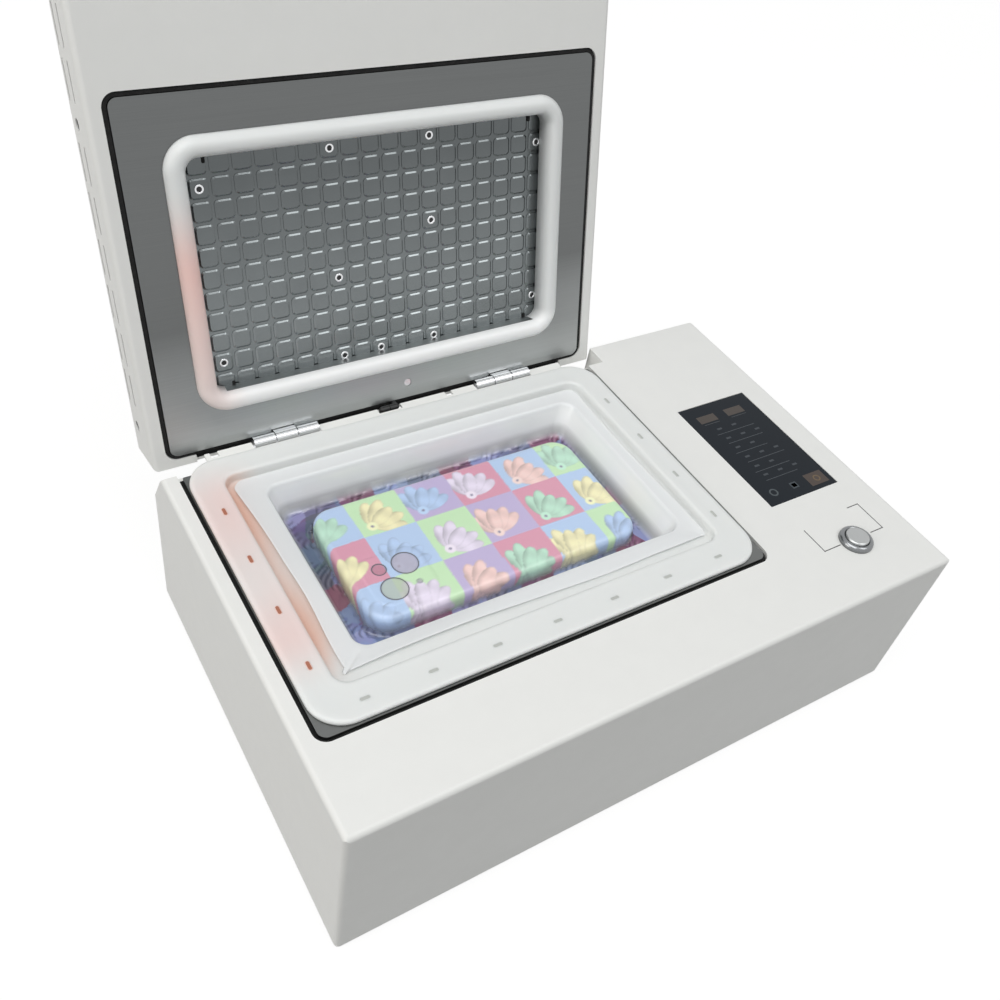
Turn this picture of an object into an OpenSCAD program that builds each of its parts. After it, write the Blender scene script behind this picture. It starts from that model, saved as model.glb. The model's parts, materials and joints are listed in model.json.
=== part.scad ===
// Tabletop vacuum sublimation press: a sheet-metal base with a vacuum tray and a
// control panel, and a heated lid that leans back on its hinges.
// Drawn from the base's front left corner on the table, then moved to the
// middle of the machine's footprint by in_frame().

/* [Base case] */
// Width of the base, left to right
base_w = 336; // [320:1:360]
// Depth of the base, front to back
base_d = 214; // [208:1:226]
// Height of the base without its feet
base_h = 95; // [88:1:110]
// Height of the rubber feet
foot_h = 3; // [2:0.5:8]
// Thickness of the case's sheet steel
sheet = 1.2; // [0.8:0.1:1.5]
// Radius of the bent edges
edge_r = 2.5; // [2:0.1:4]
// Width of the control panel on the right
panel_w = 79; // [74:1:84]
// Depth that the rear chamfer takes off the top
chamfer_run = 13.5; // [11:0.5:16]
// Height of the rear chamfer
chamfer_drop = 22; // [16:1:28]
// Radius of each foot
foot_r = 8; // [6:0.5:10]
// Distance of a foot's centre from the case's sides
foot_inset = 15; // [13:1:22]

/* [Tray side] */
// Margin from the base's left side to the tray recess
recess_side = 7.5; // [6:0.5:9]
// Margin from the tray recess to the control panel's line
recess_right = 10.2; // [8:0.5:12]
// Margin from the base's front to the tray recess
recess_front = 40; // [36:0.5:46]
// Gap round the tray plate and round the lid plate
plate_gap = 2.2; // [1.5:0.1:3]
// Thickness of the brushed plates
plate_t = 2; // [1.5:0.1:3]
// Corner radius of the brushed plates
plate_r = 4; // [2:0.5:8]
// Thickness of the black foam under each plate
foam_t = 2.5; // [2:0.1:4]
// Width of the ledge that carries each plate
ledge_w = 9; // [7:0.5:12]
// Depth of the work area inside the seals, front to back
seal_d = 126; // [120:1:128]
// Width of the lid seal, left to right
seal_w = 201; // [190:1:204]
// Room between the lid seal and the tray seal's step
seal_gap = 1.5; // [1:0.1:2.5]
// Height of the tray seal's flange over the plate
flange_h = 2.5; // [2:0.1:2.9]
// Wall of the silicone tray seal
silicone_t = 1.5; // [1.2:0.1:2]
// Width of the vacuum tray's mouth
tray_w = 180; // [176:1:184]
// Depth of the vacuum tray's mouth, front to back
tray_l = 106; // [102:1:110]
// How far the vacuum tray's middle lies right of the seals' middle
tray_shift_x = 3.2; // [0:0.1:4]
// How far the vacuum tray's middle lies behind the seals' middle
tray_shift_y = 3; // [0:0.1:4]
// Depth of the vacuum tray under its flange
tray_deep = 17.3; // [17:0.1:24]

/* [Load] */
// Length of the phone case
case_l = 149.5; // [138:0.5:158]
// Width of the phone case
case_w = 74.5; // [66:0.5:78]
// Height of the phone case
case_h = 10.5; // [9:0.1:11]
// Wall of the phone case
case_wall = 1.6; // [1.2:0.1:2.2]
// Thickness of the transfer film with its creases
film_t = 0.6; // [0.4:0.1:0.8]

/* [Lid] */
// Thickness of the closed lid
lid_h = 27; // [26.8:0.2:32]
// Gap between the closed lid and the base's top
lid_gap = 3; // [3:0.1:3.6]
// Gap between the lid's right side and the control panel's line
lid_side_gap = 2.1; // [1:0.1:4]
// Angle by which the lid stands open
lid_open = 104.9; // [95:0.1:108]
// Height of the hinge pin under the closed lid's face
hinge_drop = 3.2; // [3.2:0.1:3.6]
// Distance of the hinge pin from the base's rear
hinge_back = 5.4; // [5:0.1:7]
// Overhang of the lid behind the hinge pin
lid_tail = 3.7; // [3.6:0.1:5]
// Margin from the lid's sides to its recess
lid_side = 6.8; // [6:0.1:9]
// Margin from the lid's front to its recess
lid_front = 42.5; // [38:0.5:46]
// Height of the lid seal's bead
seal_h = 4.8; // [4:0.1:4.8]
// Width of the lid seal's bead
seal_band = 8.5; // [7:0.1:9]
// Depth of the heater's face behind the lid plate's face
heater_deep = 6; // [5:0.5:7]
// Thickness of the heater plate
heater_t = 6; // [5:0.5:7]
// Spacing of the pads on the heater plate
pad_pitch = 10.3; // [9:0.1:12]

/* [Hinges] */
// Radius of the hinge knuckles
knuckle_r = 3; // [2.6:0.1:3]
// Length of each of the three knuckles
knuckle_l = 11; // [9:0.5:12]
// Radius of the hinge pins
pin_r = 1.5; // [1.2:0.1:1.7]
// Thickness of the hinge leaves
leaf_t = 1.2; // [1:0.1:1.5]
// Distance of each hinge's middle from the seals' middle
hinge_spread = 63.5; // [56:0.5:74]

/* [Panel parts] */
// Width of the display window
display_w = 48.7; // [44:0.1:56]
// Length of the display window
display_l = 80; // [70:0.5:90]
// Distance of the display's front edge from the base's front
display_front = 67.3; // [60:0.1:72]
// Radius of the start button's bezel
bezel_r = 8.9; // [8.5:0.1:10]
// Distance of the start button's middle from the base's front
button_front = 31; // [28:0.5:36]
// Travel of the start button
button_travel = 1.5; // [0.8:0.1:2]
// Size of the cooling fan's frame
fan_size = 60; // [50:1:60]
// Angle that the power rocker stands away from its middle
rocker_tilt = 10; // [6:1:12]

/* [Hidden] */
$fn = 64;
eps = 0.01;
fit = 0.2;
run_fit = 0.05;
cap_fit = 0.1;
over = 1;
screw_r = 1.5;
screw_head_r = 2.8;
screw_head_h = 1.4;

case_z = foot_h;
top_z = foot_h + base_h;
panel_x = base_w - panel_w;
crease_y = base_d - chamfer_run;
lip_w = foot_inset + foot_r + 2;
floor_z = case_z + 2 * sheet;

recess_x0 = recess_side;
recess_x1 = panel_x - recess_right;
work_x = (recess_x0 + recess_x1) / 2 + 0.35;
plate_bottom = top_z - plate_t;
pan_top = plate_bottom - foam_t;
ledge_z = pan_top - sheet;
rail_y0 = crease_y - 2;
rail_y1 = crease_y + 9.1;
rail_t = 1.5;
plate_rear = rail_y0 - fit;

lid_z = top_z + lid_gap;
lid_top = lid_z + lid_h;
lid_w = panel_x - lid_side_gap;
hinge_y = base_d - hinge_back;
hinge_z = lid_z - hinge_drop;
lid_rear = hinge_y + lid_tail;
lid_plate_y0 = lid_front + plate_gap - 0.2;
lid_plate_y1 = hinge_y - knuckle_r + 1.3;
lid_foam_z = lid_z + plate_t;
lid_ledge_z = lid_foam_z + foam_t;
lid_recess_x1 = lid_w - lid_side;
work_y = (lid_plate_y0 + lid_plate_y1) / 2 - 0.4;
wall_r = edge_r - sheet + 0.4;

heater_w = seal_w - 2 * seal_band;
heater_d = seal_d - 2 * (seal_band + 0.5);
heater_z = lid_z + heater_deep;
heater_rim = 3;
element_z = heater_z + heater_t;
element_t = 2;
insulation_z = element_z + element_t;
insulation_t = 7;
cover_z = insulation_z + insulation_t;

step_w = seal_w + 2 * seal_gap;
step_d = seal_d + 2 * seal_gap;
plate_hole_w = step_w + 2 * silicone_t + 1;
plate_hole_d = step_d + 2 * silicone_t + 1;
tray_x = work_x + tray_shift_x;
tray_y = work_y + tray_shift_y;
tray_floor = pan_top - tray_deep - sheet;
grid_t = 2.4;
grid_top = tray_floor + grid_t;
film_floor = grid_top + 0.3;
film_top = pan_top + silicone_t + 0.3;
case_top = film_floor + case_h;
mould_top = case_top - case_wall - 0.3;
case_r = 11;
film_gap = 1;
film_corner_r = 6;
film_air = 0.3;
film_mouth = 2.4;
film_foot_x = 12;
film_foot_y = 10;
film_foot_r = 6;

button_x = base_w - panel_w / 2;
display_x = base_w - panel_w / 2 - display_w / 2 - 1;
fan_x = work_x + 88;
fan_z = floor_z + fan_size / 2 + 3;
rear_top = top_z - chamfer_drop - 2.4 * sheet;
rear_parts_x = base_w - panel_w / 2 + 3;
inlet_z = floor_z + 26;
switch_z = inlet_z + 36;

// The open lid's rearmost edge sets the depth of the whole machine
lid_far = hinge_y + edge_r
    + (hinge_y - edge_r) * -cos(lid_open)
    + (lid_top - edge_r - hinge_z) * sin(lid_open);
mid_x = base_w / 2;
mid_y = lid_far / 2;

FEET = ["foot_front_left", "foot_front_right", "foot_rear_left", "foot_rear_right"];
SIDES = ["left", "right"];

// Colours
white_paint = [0.92, 0.93, 0.92];
steel = [0.62, 0.63, 0.64];
silicone = [0.93, 0.94, 0.93];
black = [0.05, 0.05, 0.06];
chrome = [0.8, 0.8, 0.82];

// Moves a part from the corner to the middle of the footprint
module in_frame() translate([-mid_x, -mid_y, 0]) children();

// Turns a part drawn on the closed lid to where the open lid holds it
module on_lid() in_frame()
    translate([0, hinge_y, hinge_z]) rotate([-lid_open, 0, 0])
        translate([0, -hinge_y, -hinge_z]) children();

// What is left outside a rounded corner at the origin
module corner_waste(r) difference() {
    translate([-over, -over]) square(r + over);
    translate([r, r]) circle(r);
}

// Rectangle from the origin with its own radius at each corner
module soft_rect(w, h, r_sw = 0, r_se = 0, r_ne = 0, r_nw = 0) difference() {
    square([w, h]);
    if (r_sw > 0) corner_waste(r_sw);
    if (r_se > 0) translate([w, 0]) rotate(90) corner_waste(r_se);
    if (r_ne > 0) translate([w, h]) rotate(180) corner_waste(r_ne);
    if (r_nw > 0) translate([0, h]) rotate(270) corner_waste(r_nw);
}

// Rounded rectangle about a middle point
module pad2(x, y, w, d, r) translate([x - w / 2, y - d / 2]) soft_rect(w, d, r, r, r, r);

// Flat ring between two rounded rectangles about one middle point
module ring2(x, y, w, d, r, iw, id, ir) difference() {
    pad2(x, y, w, d, r);
    pad2(x, y, iw, id, ir);
}

module slab(z, h) translate([0, 0, z]) linear_extrude(h) children();

// Lays a drawing in Y and Z across the machine
module across(x, w) translate([x, 0, 0]) rotate([90, 0, 90]) linear_extrude(w) children();

// Lays a drawing in X and Z along the machine
module along(y, d) translate([0, y + d, 0]) rotate([90, 0, 0]) linear_extrude(d) children();

module rod(p, axis, r, l) translate(p)
    rotate(axis == "x" ? [0, 90, 0] : axis == "y" ? [-90, 0, 0] : [0, 0, 0]) cylinder(r = r, h = l);

module block(x0, y0, z0, x1, y1, z1) translate([x0, y0, z0]) cube([x1 - x0, y1 - y0, z1 - z0]);

// Space above the rear chamfer, moved inwards by i
module chamfer_space(i) {
    slope = norm([chamfer_run, chamfer_drop]);
    u = [chamfer_run, -chamfer_drop] / slope;
    n = [-chamfer_drop, -chamfer_run] / slope;
    p = [crease_y, top_z] + n * i;
    a = p - u * 14;
    b = p + u * (slope + 14);
    across(-over, panel_x + over + i)
        polygon([a, b, [b[0], top_z + 40], [a[0], top_z + 40]]);
}

// Body of the base, moved inwards by i and then open at the rear and below
module base_form(i) {
    r = i > 0 ? wall_r : edge_r;
    rear = i > 0 ? over : 0;
    low = i > 0 ? over : 0;
    difference() {
        intersection() {
            slab(case_z - low, base_h + low - i) translate([i, i])
                soft_rect(base_w - 2 * i, base_d - i + rear, r, r);
            across(i, base_w - 2 * i) translate([i, case_z - low])
                soft_rect(base_d - i + rear, base_h + low - i, 0, 0, 0, r);
            along(i, base_d - i + rear) translate([i, case_z - low])
                soft_rect(base_w - 2 * i, base_h + low - i, 0, 0, r, r);
        }
        chamfer_space(i);
    }
}

module recess_area(grow, x1 = recess_x1)
    translate([recess_x0 - grow, recess_front - grow])
        soft_rect(x1 - recess_x0 + 2 * grow, base_d, plate_r + plate_gap, plate_r + plate_gap);

function foot_spot(i) = [
    i % 2 == 0 ? foot_inset : base_w - foot_inset,
    i < 2 ? foot_inset : base_d - foot_inset];

lip_screws = [for (x = [0.28, 0.72], y = [0, 1])
    [base_w * x, y == 0 ? lip_w / 2 + sheet : base_d - lip_w / 2 - sheet]];
rear_screws = [[sheet + 6, floor_z + 10], [sheet + 6, rear_top - 10],
    [base_w - sheet - 6, floor_z + 10], [base_w - sheet - 6, top_z - 14]];

module base_shell() color(white_paint) in_frame() {
    difference() {
        base_form(0);
        base_form(sheet);
        slab(ledge_z, 20) recess_area(0);
        slab(top_z - 5, 20) translate([display_x, display_front]) square([display_w, display_l]);
        rod([button_x, button_front, top_z - 5], "z", bezel_r - 1.9 + fit / 2, 10);
        // Wire hole in the chamfer
        rod([wire_x - 4, hinge_y, top_z - chamfer_drop - 6], "z", wire_r + 0.5, 18);
    }
    // Riser and ledge round the tray recess
    difference() {
        slab(ledge_z - sheet, top_z - ledge_z + sheet - 0.5) recess_area(sheet);
        slab(ledge_z, 20) recess_area(0);
        slab(ledge_z - 2 * sheet, 20) pad2((recess_x0 + recess_x1) / 2,
            (recess_front + rail_y0) / 2, recess_x1 - recess_x0 - 2 * ledge_w,
            rail_y0 - recess_front - 2 * ledge_w, 2);
        chamfer_space(0);
        slab(0, 2 * top_z) translate([-over, base_d - over]) square([base_w + 2, 90]);
    }
    // Bottom lip that the floor pan lies on
    difference() {
        slab(case_z, sheet) translate([sheet / 2, sheet / 2])
            square([base_w - sheet, base_d - 2 * sheet]);
        slab(case_z - over, 4) translate([lip_w, lip_w])
            square([base_w - 2 * lip_w, base_d - 2 * lip_w - sheet]);
        for (i = [0:3]) let (p = foot_spot(i))
            rod([p[0], p[1], case_z - over], "z", screw_r + fit / 2, 5);
        for (p = lip_screws) rod([p[0], p[1], case_z - over], "z", screw_r + fit / 2, 5);
    }
    // Rear flanges that the rear panel is screwed to
    difference() {
        block(sheet / 2, base_d - 2 * sheet, floor_z + 2, 12, base_d - sheet, rear_top - 4);
        for (p = rear_screws) rod([p[0], base_d - 9, p[1]], "y", screw_r - 0.1, 12);
    }
    difference() {
        block(base_w - 12, base_d - 2 * sheet, floor_z + 2,
            base_w - sheet / 2, base_d - sheet, top_z - 6);
        for (p = rear_screws) rod([p[0], base_d - 9, p[1]], "y", screw_r - 0.1, 12);
    }
}

module bottom_pan() color(steel) in_frame() difference() {
    slab(case_z + sheet, sheet) translate([sheet + fit, sheet + fit])
        soft_rect(base_w - 2 * sheet - 2 * fit, base_d - 3 * sheet - 2 * fit, wall_r, wall_r);
    for (i = [0:3]) let (p = foot_spot(i))
        rod([p[0], p[1], case_z], "z", screw_r - 0.1, 5);
    for (p = lip_screws) rod([p[0], p[1], case_z], "z", screw_r - 0.1, 5);
    // Cooling slots under the power supply
    for (i = [0:6]) block(40 + i * 9, 40, case_z, 44 + i * 9, 72, case_z + 5);
}

module rear_panel() color(white_paint) in_frame() difference() {
    along(base_d - sheet, sheet) union() {
        translate([sheet + fit, case_z]) square([base_w - 2 * (sheet + fit), rear_top - case_z]);
        translate([panel_x + sheet + fit, case_z])
            soft_rect(panel_w - 2 * (sheet + fit), top_z - sheet - fit - case_z, 0, 0, wall_r, 0);
    }
    for (p = rear_screws) rod([p[0], base_d - 4, p[1]], "y", screw_r + 0.1, 8);
    // Fan slots
    for (i = [-3:3]) let (h = sqrt(pow(fan_size / 2 - 3, 2) - pow(i * 7.4, 2)))
        block(fan_x - h, base_d - 4, fan_z + i * 7.4 - 2, fan_x + h, base_d + 4, fan_z + i * 7.4 + 2);
    for (x = [-1, 1], z = [-1, 1])
        rod([fan_x + x * fan_hole, base_d - 4, fan_z + z * fan_hole], "y", 1.8, 8);
    block(rear_parts_x - inlet_w / 2, base_d - 4, inlet_z - inlet_h / 2,
        rear_parts_x + inlet_w / 2, base_d + 4, inlet_z + inlet_h / 2);
    for (s = [-1, 1]) rod([rear_parts_x + s * 20, base_d - 4, inlet_z], "y", 1.6, 8);
    block(rear_parts_x - switch_w / 2, base_d - 4, switch_z - switch_h / 2,
        rear_parts_x + switch_w / 2, base_d + 4, switch_z + switch_h / 2);
    // Air slots low on the tray side
    for (i = [0:7]) block(30 + i * 9, base_d - 4, floor_z + 16, 34 + i * 9, base_d + 4, floor_z + 46);
}

fan_hole = fan_size * 0.417;
inlet_w = 27.6;
inlet_h = 20;
switch_w = 19.2;
switch_h = 13;

module pan_head_screw(l) {
    translate([0, 0, -screw_head_h]) cylinder(r = screw_head_r, h = screw_head_h);
    cylinder(r = screw_r - 0.15, h = l);
}

module base_screws() color(chrome) in_frame() {
    for (i = [0:3]) let (p = foot_spot(i)) translate([p[0], p[1], foot_h / 2 + 0.4]) pan_head_screw(6);
    for (p = lip_screws) translate([p[0], p[1], case_z]) pan_head_screw(5);
    for (p = rear_screws) translate([p[0], base_d, p[1]]) rotate([90, 0, 0]) pan_head_screw(6);
}

module foot(i) color(black) in_frame() let (p = foot_spot(i)) difference() {
    rod([p[0], p[1], 0], "z", foot_r, foot_h);
    rod([p[0], p[1], -over], "z", screw_head_r + fit, foot_h / 2 + 0.4 + over);
    rod([p[0], p[1], -over], "z", screw_r + fit / 2, foot_h + 2);
}

// Area of the tray plate and of what lies under it
module tray_area(gap, rear) translate([recess_x0 + gap, recess_front + gap])
    soft_rect(recess_x1 - recess_x0 - 2 * gap, rear - recess_front - gap,
        plate_r + plate_gap - gap, plate_r + plate_gap - gap, 1, 1);

module tray_plate() color(steel) in_frame() difference() {
    slab(plate_bottom, plate_t) tray_area(plate_gap - 0.2, plate_rear);
    slab(plate_bottom - over, plate_t + 2) pad2(work_x, work_y, plate_hole_w, plate_hole_d, 9);
}

module tray_foam() color(black) in_frame() difference() {
    slab(pan_top, foam_t) tray_area(fit, plate_rear);
    slab(pan_top - over, foam_t + 2) pad2(work_x, work_y, plate_hole_w, plate_hole_d, 9);
}

tray_in_r = 8;
grid_x = 29;
grid_y = 33;
port_spot = [tray_x + 1.5 * grid_x, tray_y];
valve_spot = [tray_x + 2.5 * grid_x, tray_y - grid_y];
port_bore = 3;
port_flange_t = 3;
port_neck = 8;
port_low = tray_floor - sheet - port_neck;

module vacuum_tray() color(steel) in_frame() difference() {
    union() {
        slab(ledge_z, sheet) tray_area(fit + 0.3, plate_rear);
        slab(tray_floor - sheet, ledge_z - tray_floor + 2 * sheet)
            pad2(tray_x, tray_y, tray_w + 2 * sheet, tray_l + 2 * sheet, tray_in_r + sheet);
    }
    slab(tray_floor, 40) pad2(tray_x, tray_y, tray_w, tray_l, tray_in_r);
    for (p = [port_spot, valve_spot]) rod([p[0], p[1], tray_floor - 4], "z", port_bore, 8);
}

module tray_seal() color(silicone) in_frame() {
    difference() {
        union() {
            slab(top_z, flange_h) pad2((recess_x0 + recess_x1) / 2, seal_mid_y,
                flange_w, flange_d, 16);
            slab(pan_top, top_z - pan_top + eps)
                pad2(work_x, work_y, step_w + 2 * silicone_t, step_d + 2 * silicone_t, 8.5);
        }
        slab(pan_top + silicone_t, 40) pad2(work_x, work_y, step_w, step_d, 7);
        slab(pan_top - over, 40) pad2(tray_x, tray_y, tray_w, tray_l, tray_in_r);
        // Breathing slits round the flange
        for (y = [-1.5:1:1.5], s = [-1, 1])
            translate([work_x + s * slit_x, work_y - 4 + y * slit_pitch, top_z + 1])
                cube([1.2, 5, 4], center = true);
        for (x = [-3:1:3]) translate([work_x - 1.6 + x * slit_pitch, work_y - slit_y, top_z + 1])
            cube([5, 1.2, 4], center = true);
    }
}

flange_w = recess_x1 - recess_x0 - 2 * plate_gap - 0.6;
flange_y0 = recess_front + plate_gap + 0.8;
flange_y1 = crease_y + 2.7;
flange_d = flange_y1 - flange_y0;
seal_mid_y = (flange_y0 + flange_y1) / 2;
slit_x = step_w / 2 + 6.8;
slit_y = step_d / 2 + 10;
slit_pitch = 31.2;

module tray_support_grid() color(steel) in_frame() difference() {
    slab(tray_floor, grid_t) pad2(tray_x, tray_y, tray_w - 1, tray_l - 1, tray_in_r - 0.5);
    for (x = [-2.5:1:2.5], y = [-1:1])
        rod([tray_x + x * grid_x, tray_y + y * grid_y, tray_floor - 1], "z", 2, 5);
}

hose_r = 4;
hose_bore = 2.6;
hose_bend = 13;
hose_z = port_low - hose_bend - 0.4;

module suction_port() color(steel) in_frame() translate([port_spot[0], port_spot[1], 0])
    difference() {
        union() {
            rod([0, 0, port_low + port_neck - port_flange_t], "z", 7, port_flange_t);
            rod([0, 0, hose_z + hose_bend - 1], "z", hose_bore - run_fit,
                port_low - hose_z - hose_bend + 1 + eps);
            rod([0, 0, port_low], "z", 5, port_neck - port_flange_t + eps);
        }
        rod([0, 0, hose_z], "z", port_bore - 1.4, port_low + port_neck - hose_z + over);
    }

// Suction hose: level from the pump's barb, one bend, then up to the port
module vacuum_hose() color([0.15, 0.15, 0.16]) in_frame() {
    x1 = port_spot[0] - hose_bend;
    difference() {
        union() {
            rod([barb_x, port_spot[1], hose_z], "x", hose_r, x1 - barb_x);
            translate([x1, port_spot[1], hose_z + hose_bend]) rotate([90, 0, 0]) rotate([0, 0, -90])
                rotate_extrude(angle = 90) translate([hose_bend, 0]) circle(hose_r);
            rod([port_spot[0], port_spot[1], hose_z + hose_bend], "z", hose_r,
                port_low - hose_z - hose_bend);
        }
        rod([barb_x - 1, port_spot[1], hose_z], "x", hose_bore, x1 - barb_x + 1 + eps);
        translate([x1, port_spot[1], hose_z + hose_bend]) rotate([90, 0, 0]) rotate([0, 0, -90])
            rotate_extrude(angle = 90) translate([hose_bend, 0]) circle(hose_bore);
        rod([port_spot[0], port_spot[1], hose_z + hose_bend - eps], "z", hose_bore, 60);
    }
}

pump_x = 62;
head_l = 34;
head_w = 42;
head_up = 16;
head_down = 18;
motor_r = 14;
motor_l = 58;
pump_z = floor_z + head_down + 1;
barb_x = pump_x + head_l - 8;
bracket_l = 40;
bracket_w = 48;

module pump_head() color([0.2, 0.2, 0.22]) in_frame() difference() {
    union() {
        translate([pump_x, port_spot[1] - head_w / 2, pump_z - head_down])
            cube([head_l, head_w, head_up + head_down]);
        translate([pump_x + 4, port_spot[1] - 9, pump_z + head_up - eps])
            cube([18, 18, hose_z + 6 - pump_z - head_up]);
        rod([pump_x + 10, port_spot[1], hose_z], "x", hose_bore - run_fit, head_l - 10);
    }
    rod([pump_x + 12, port_spot[1], hose_z], "x", 1.6, 40);
}

module pump_motor() color(steel) in_frame() {
    rod([pump_x + head_l, port_spot[1], pump_z], "x", motor_r, motor_l);
    rod([pump_x + head_l + motor_l, port_spot[1], pump_z], "x", 5, 3);
}

module pump_bracket() color(steel) in_frame() difference() {
    translate([pump_x + head_l + 8, port_spot[1] - bracket_w / 2, floor_z])
        cube([bracket_l, bracket_w, pump_z - floor_z - 5]);
    rod([pump_x + head_l, port_spot[1], pump_z], "x", motor_r + run_fit, motor_l);
}

module release_valve() color([0.75, 0.76, 0.78]) in_frame() difference() {
    union() {
        rod([valve_spot[0], valve_spot[1], tray_floor - sheet - 10], "z", 6, 10);
        translate([valve_spot[0] - 10, valve_spot[1] - 12, tray_floor - sheet - 40]) cube([20, 24, 30 + eps]);
    }
    rod([valve_spot[0], valve_spot[1], tray_floor - sheet - 14], "z", 2, 20);
}

supply = [100, 60, 34];
supply_spot = [20, 28];
supply_slot = [4, 34, 1.2];
slot_step = 9;

module power_supply() color([0.7, 0.72, 0.74]) in_frame()
    translate([supply_spot[0], supply_spot[1], floor_z]) difference() {
        cube(supply);
        for (i = [-4:4]) translate([supply[0] / 2 - 2 + i * slot_step, 14, supply[2] - supply_slot[2]])
            cube([supply_slot[0], supply_slot[1], supply_slot[2] + over]);
    }

module solid_state_relay() color([0.12, 0.12, 0.14]) in_frame() {
    translate([relay[0], relay[1], floor_z]) cube([relay[2], relay[3], 3.6]);
    translate([relay[0] + 1, relay[1] + 1, floor_z + 3]) cube([relay[2] - 2, relay[3] - 2, 20]);
}

board_x = panel_x + 8;
board_z = floor_z + 14;
board_y = 44;
board_w = 62;
board_l = 104;

module control_board() color([0.05, 0.3, 0.16]) in_frame() {
    translate([board_x, board_y, board_z]) cube([board_w, board_l, 1.6]);
    for (p = [[8, 12, 14, 14, 10], [30, 10, 20, 12, 8], [12, 44, 12, 12, 3], [34, 40, 18, 18, 14],
        [10, 74, 40, 12, 9]])
        translate([board_x + p[0], board_y + p[1], board_z + 1.6 - eps]) cube([p[2], p[3], p[4]]);
}

module board_standoffs() color([0.75, 0.65, 0.35]) in_frame()
    for (x = [4, board_w - 4], y = [4, board_l - 4])
        rod([board_x + x, board_y + y, floor_z], "z", 2.5, board_z - floor_z, $fn = 32);

fan_t = 15;
fan_y = base_d - sheet - fan_t;
fan_bore = fan_size / 2 - 1.5;
hub_r = 11;

module fan_frame() color(black) in_frame() difference() {
    union() {
        difference() {
            along(fan_y, fan_t) pad2(fan_x, fan_z, fan_size, fan_size, 3);
            rod([fan_x, fan_y - 1, fan_z], "y", fan_bore, fan_t + 2);
        }
        rod([fan_x, fan_y, fan_z], "y", hub_r, 2.5);
        for (a = [0:90:270]) translate([fan_x, fan_y, fan_z]) rotate([0, a + 30, 0])
            translate([hub_r - 2, 0, -1.5]) cube([fan_bore - hub_r + 2.5, 2.5, 3]);
        rod([fan_x, fan_y + 2.5 - eps, fan_z], "y", 2, 10);
    }
    for (x = [-1, 1], z = [-1, 1])
        rod([fan_x + x * fan_hole, fan_y - 1, fan_z + z * fan_hole], "y", 1.8, fan_t + 2);
}

module fan_rotor() color([0.1, 0.1, 0.11]) in_frame() difference() {
    union() {
        rod([fan_x, fan_y + 3.2, fan_z], "y", hub_r, 10.5);
        for (i = [0:6]) translate([fan_x, fan_y + 8.4, fan_z]) rotate([0, i * 360 / 7, 0])
            translate([hub_r - 1, 0, 0]) rotate([42, 0, 0])
                translate([0, -5.4, -0.6]) cube([fan_bore - hub_r - 0.4, 10.8, 1.2]);
    }
    rod([fan_x, fan_y, fan_z], "y", 2 + run_fit, 12.9);
}

module mains_inlet() color(black) in_frame() difference() {
    union() {
        along(base_d, 3) pad2(rear_parts_x, inlet_z, 50, 23.6, 5);
        along(base_d - 20, 20 + eps) pad2(rear_parts_x, inlet_z, inlet_w - 0.4, inlet_h - 0.4, 2);
    }
    difference() {
        along(base_d - 14, 20) pad2(rear_parts_x, inlet_z, 24.4, 16.8, 3);
        for (p = [[-7, -1.5], [0, 2], [7, -1.5]])
            translate([rear_parts_x + p[0], base_d - 8.5, inlet_z + p[1]]) cube([2, 13, 4], center = true);
    }
    for (s = [-1, 1]) rod([rear_parts_x + s * 20, base_d - 1, inlet_z], "y", 1.6, 8);
}

rocker_r = 8.5;
rocker_y = base_d - 4;

module switch_bezel() color(black) in_frame() difference() {
    union() {
        along(base_d, 1.8) pad2(rear_parts_x, switch_z, 21, 15, 1.5);
        along(base_d - 16, 16 + eps) pad2(rear_parts_x, switch_z, switch_w - 0.4, switch_h - 0.4, 1);
    }
    along(rocker_y - 7, 30) pad2(rear_parts_x, switch_z, 14.4, 12, 0.8);
}

module switch_rocker() color([0.75, 0.08, 0.06]) in_frame()
    translate([rear_parts_x, rocker_y, switch_z]) rotate([rocker_tilt, 0, 0])
        across(-6.9, 13.8) difference() {
            union() {
                intersection() {
                    circle(rocker_r);
                    polygon([[0, 0], [12, 7.2], [12, -7.2]]);
                }
                circle(3);
            }
            translate([14.6, 0]) circle(8);
        }

module display_glass() color([0.05, 0.06, 0.09]) in_frame()
    translate([display_x + fit, display_front + fit, top_z - 1.5 * sheet])
        cube([display_w - 2 * fit, display_l - 2 * fit, 1.5 * sheet - 0.2]);

module display_module() color([0.1, 0.2, 0.3]) in_frame() {
    translate([display_x + 1, display_front + 1, top_z - 1.5 * sheet - 4])
        cube([display_w - 2, display_l - 2, 4]);
    translate([display_x - 3, display_front - 4, top_z - 1.5 * sheet - 5.6])
        cube([display_w + 6, display_l + 8, 1.6 + eps]);
}

module display_bracket() color(steel) in_frame() difference() {
    union() {
        translate([display_x - 5, display_front - 8, top_z - 1.5 * sheet - 6.8])
            cube([display_w + 10, display_l + 16, 1.2]);
        for (x = [-5, display_w + 2.5], y = [-8, display_l + 5.5])
            translate([display_x + x, display_front + y, top_z - 1.5 * sheet - 5.6 - eps])
                cube([2.5, 2.5, 5.6 + 0.5 * sheet + eps]);
    }
    translate([display_x + 6, display_front + 6, top_z - 20]) cube([display_w - 12, display_l - 12, 20]);
}

cap_r = bezel_r - 2.8;

module start_button_body() color(chrome) in_frame() translate([button_x, button_front, 0])
    difference() {
        union() {
            translate([0, 0, top_z]) cylinder(r1 = bezel_r, r2 = bezel_r - 0.9, h = 3);
            rod([0, 0, top_z - 22], "z", bezel_r - 1.9, 22 + eps);
        }
        rod([0, 0, top_z - 4], "z", cap_r + cap_fit, 20);
    }

module start_button_cap() color([0.5, 0.5, 0.5]) in_frame() translate([button_x, button_front, 0])
    rod([0, 0, top_z - 4 + button_travel + 0.3], "z", cap_r, 7.6 - button_travel);

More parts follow.
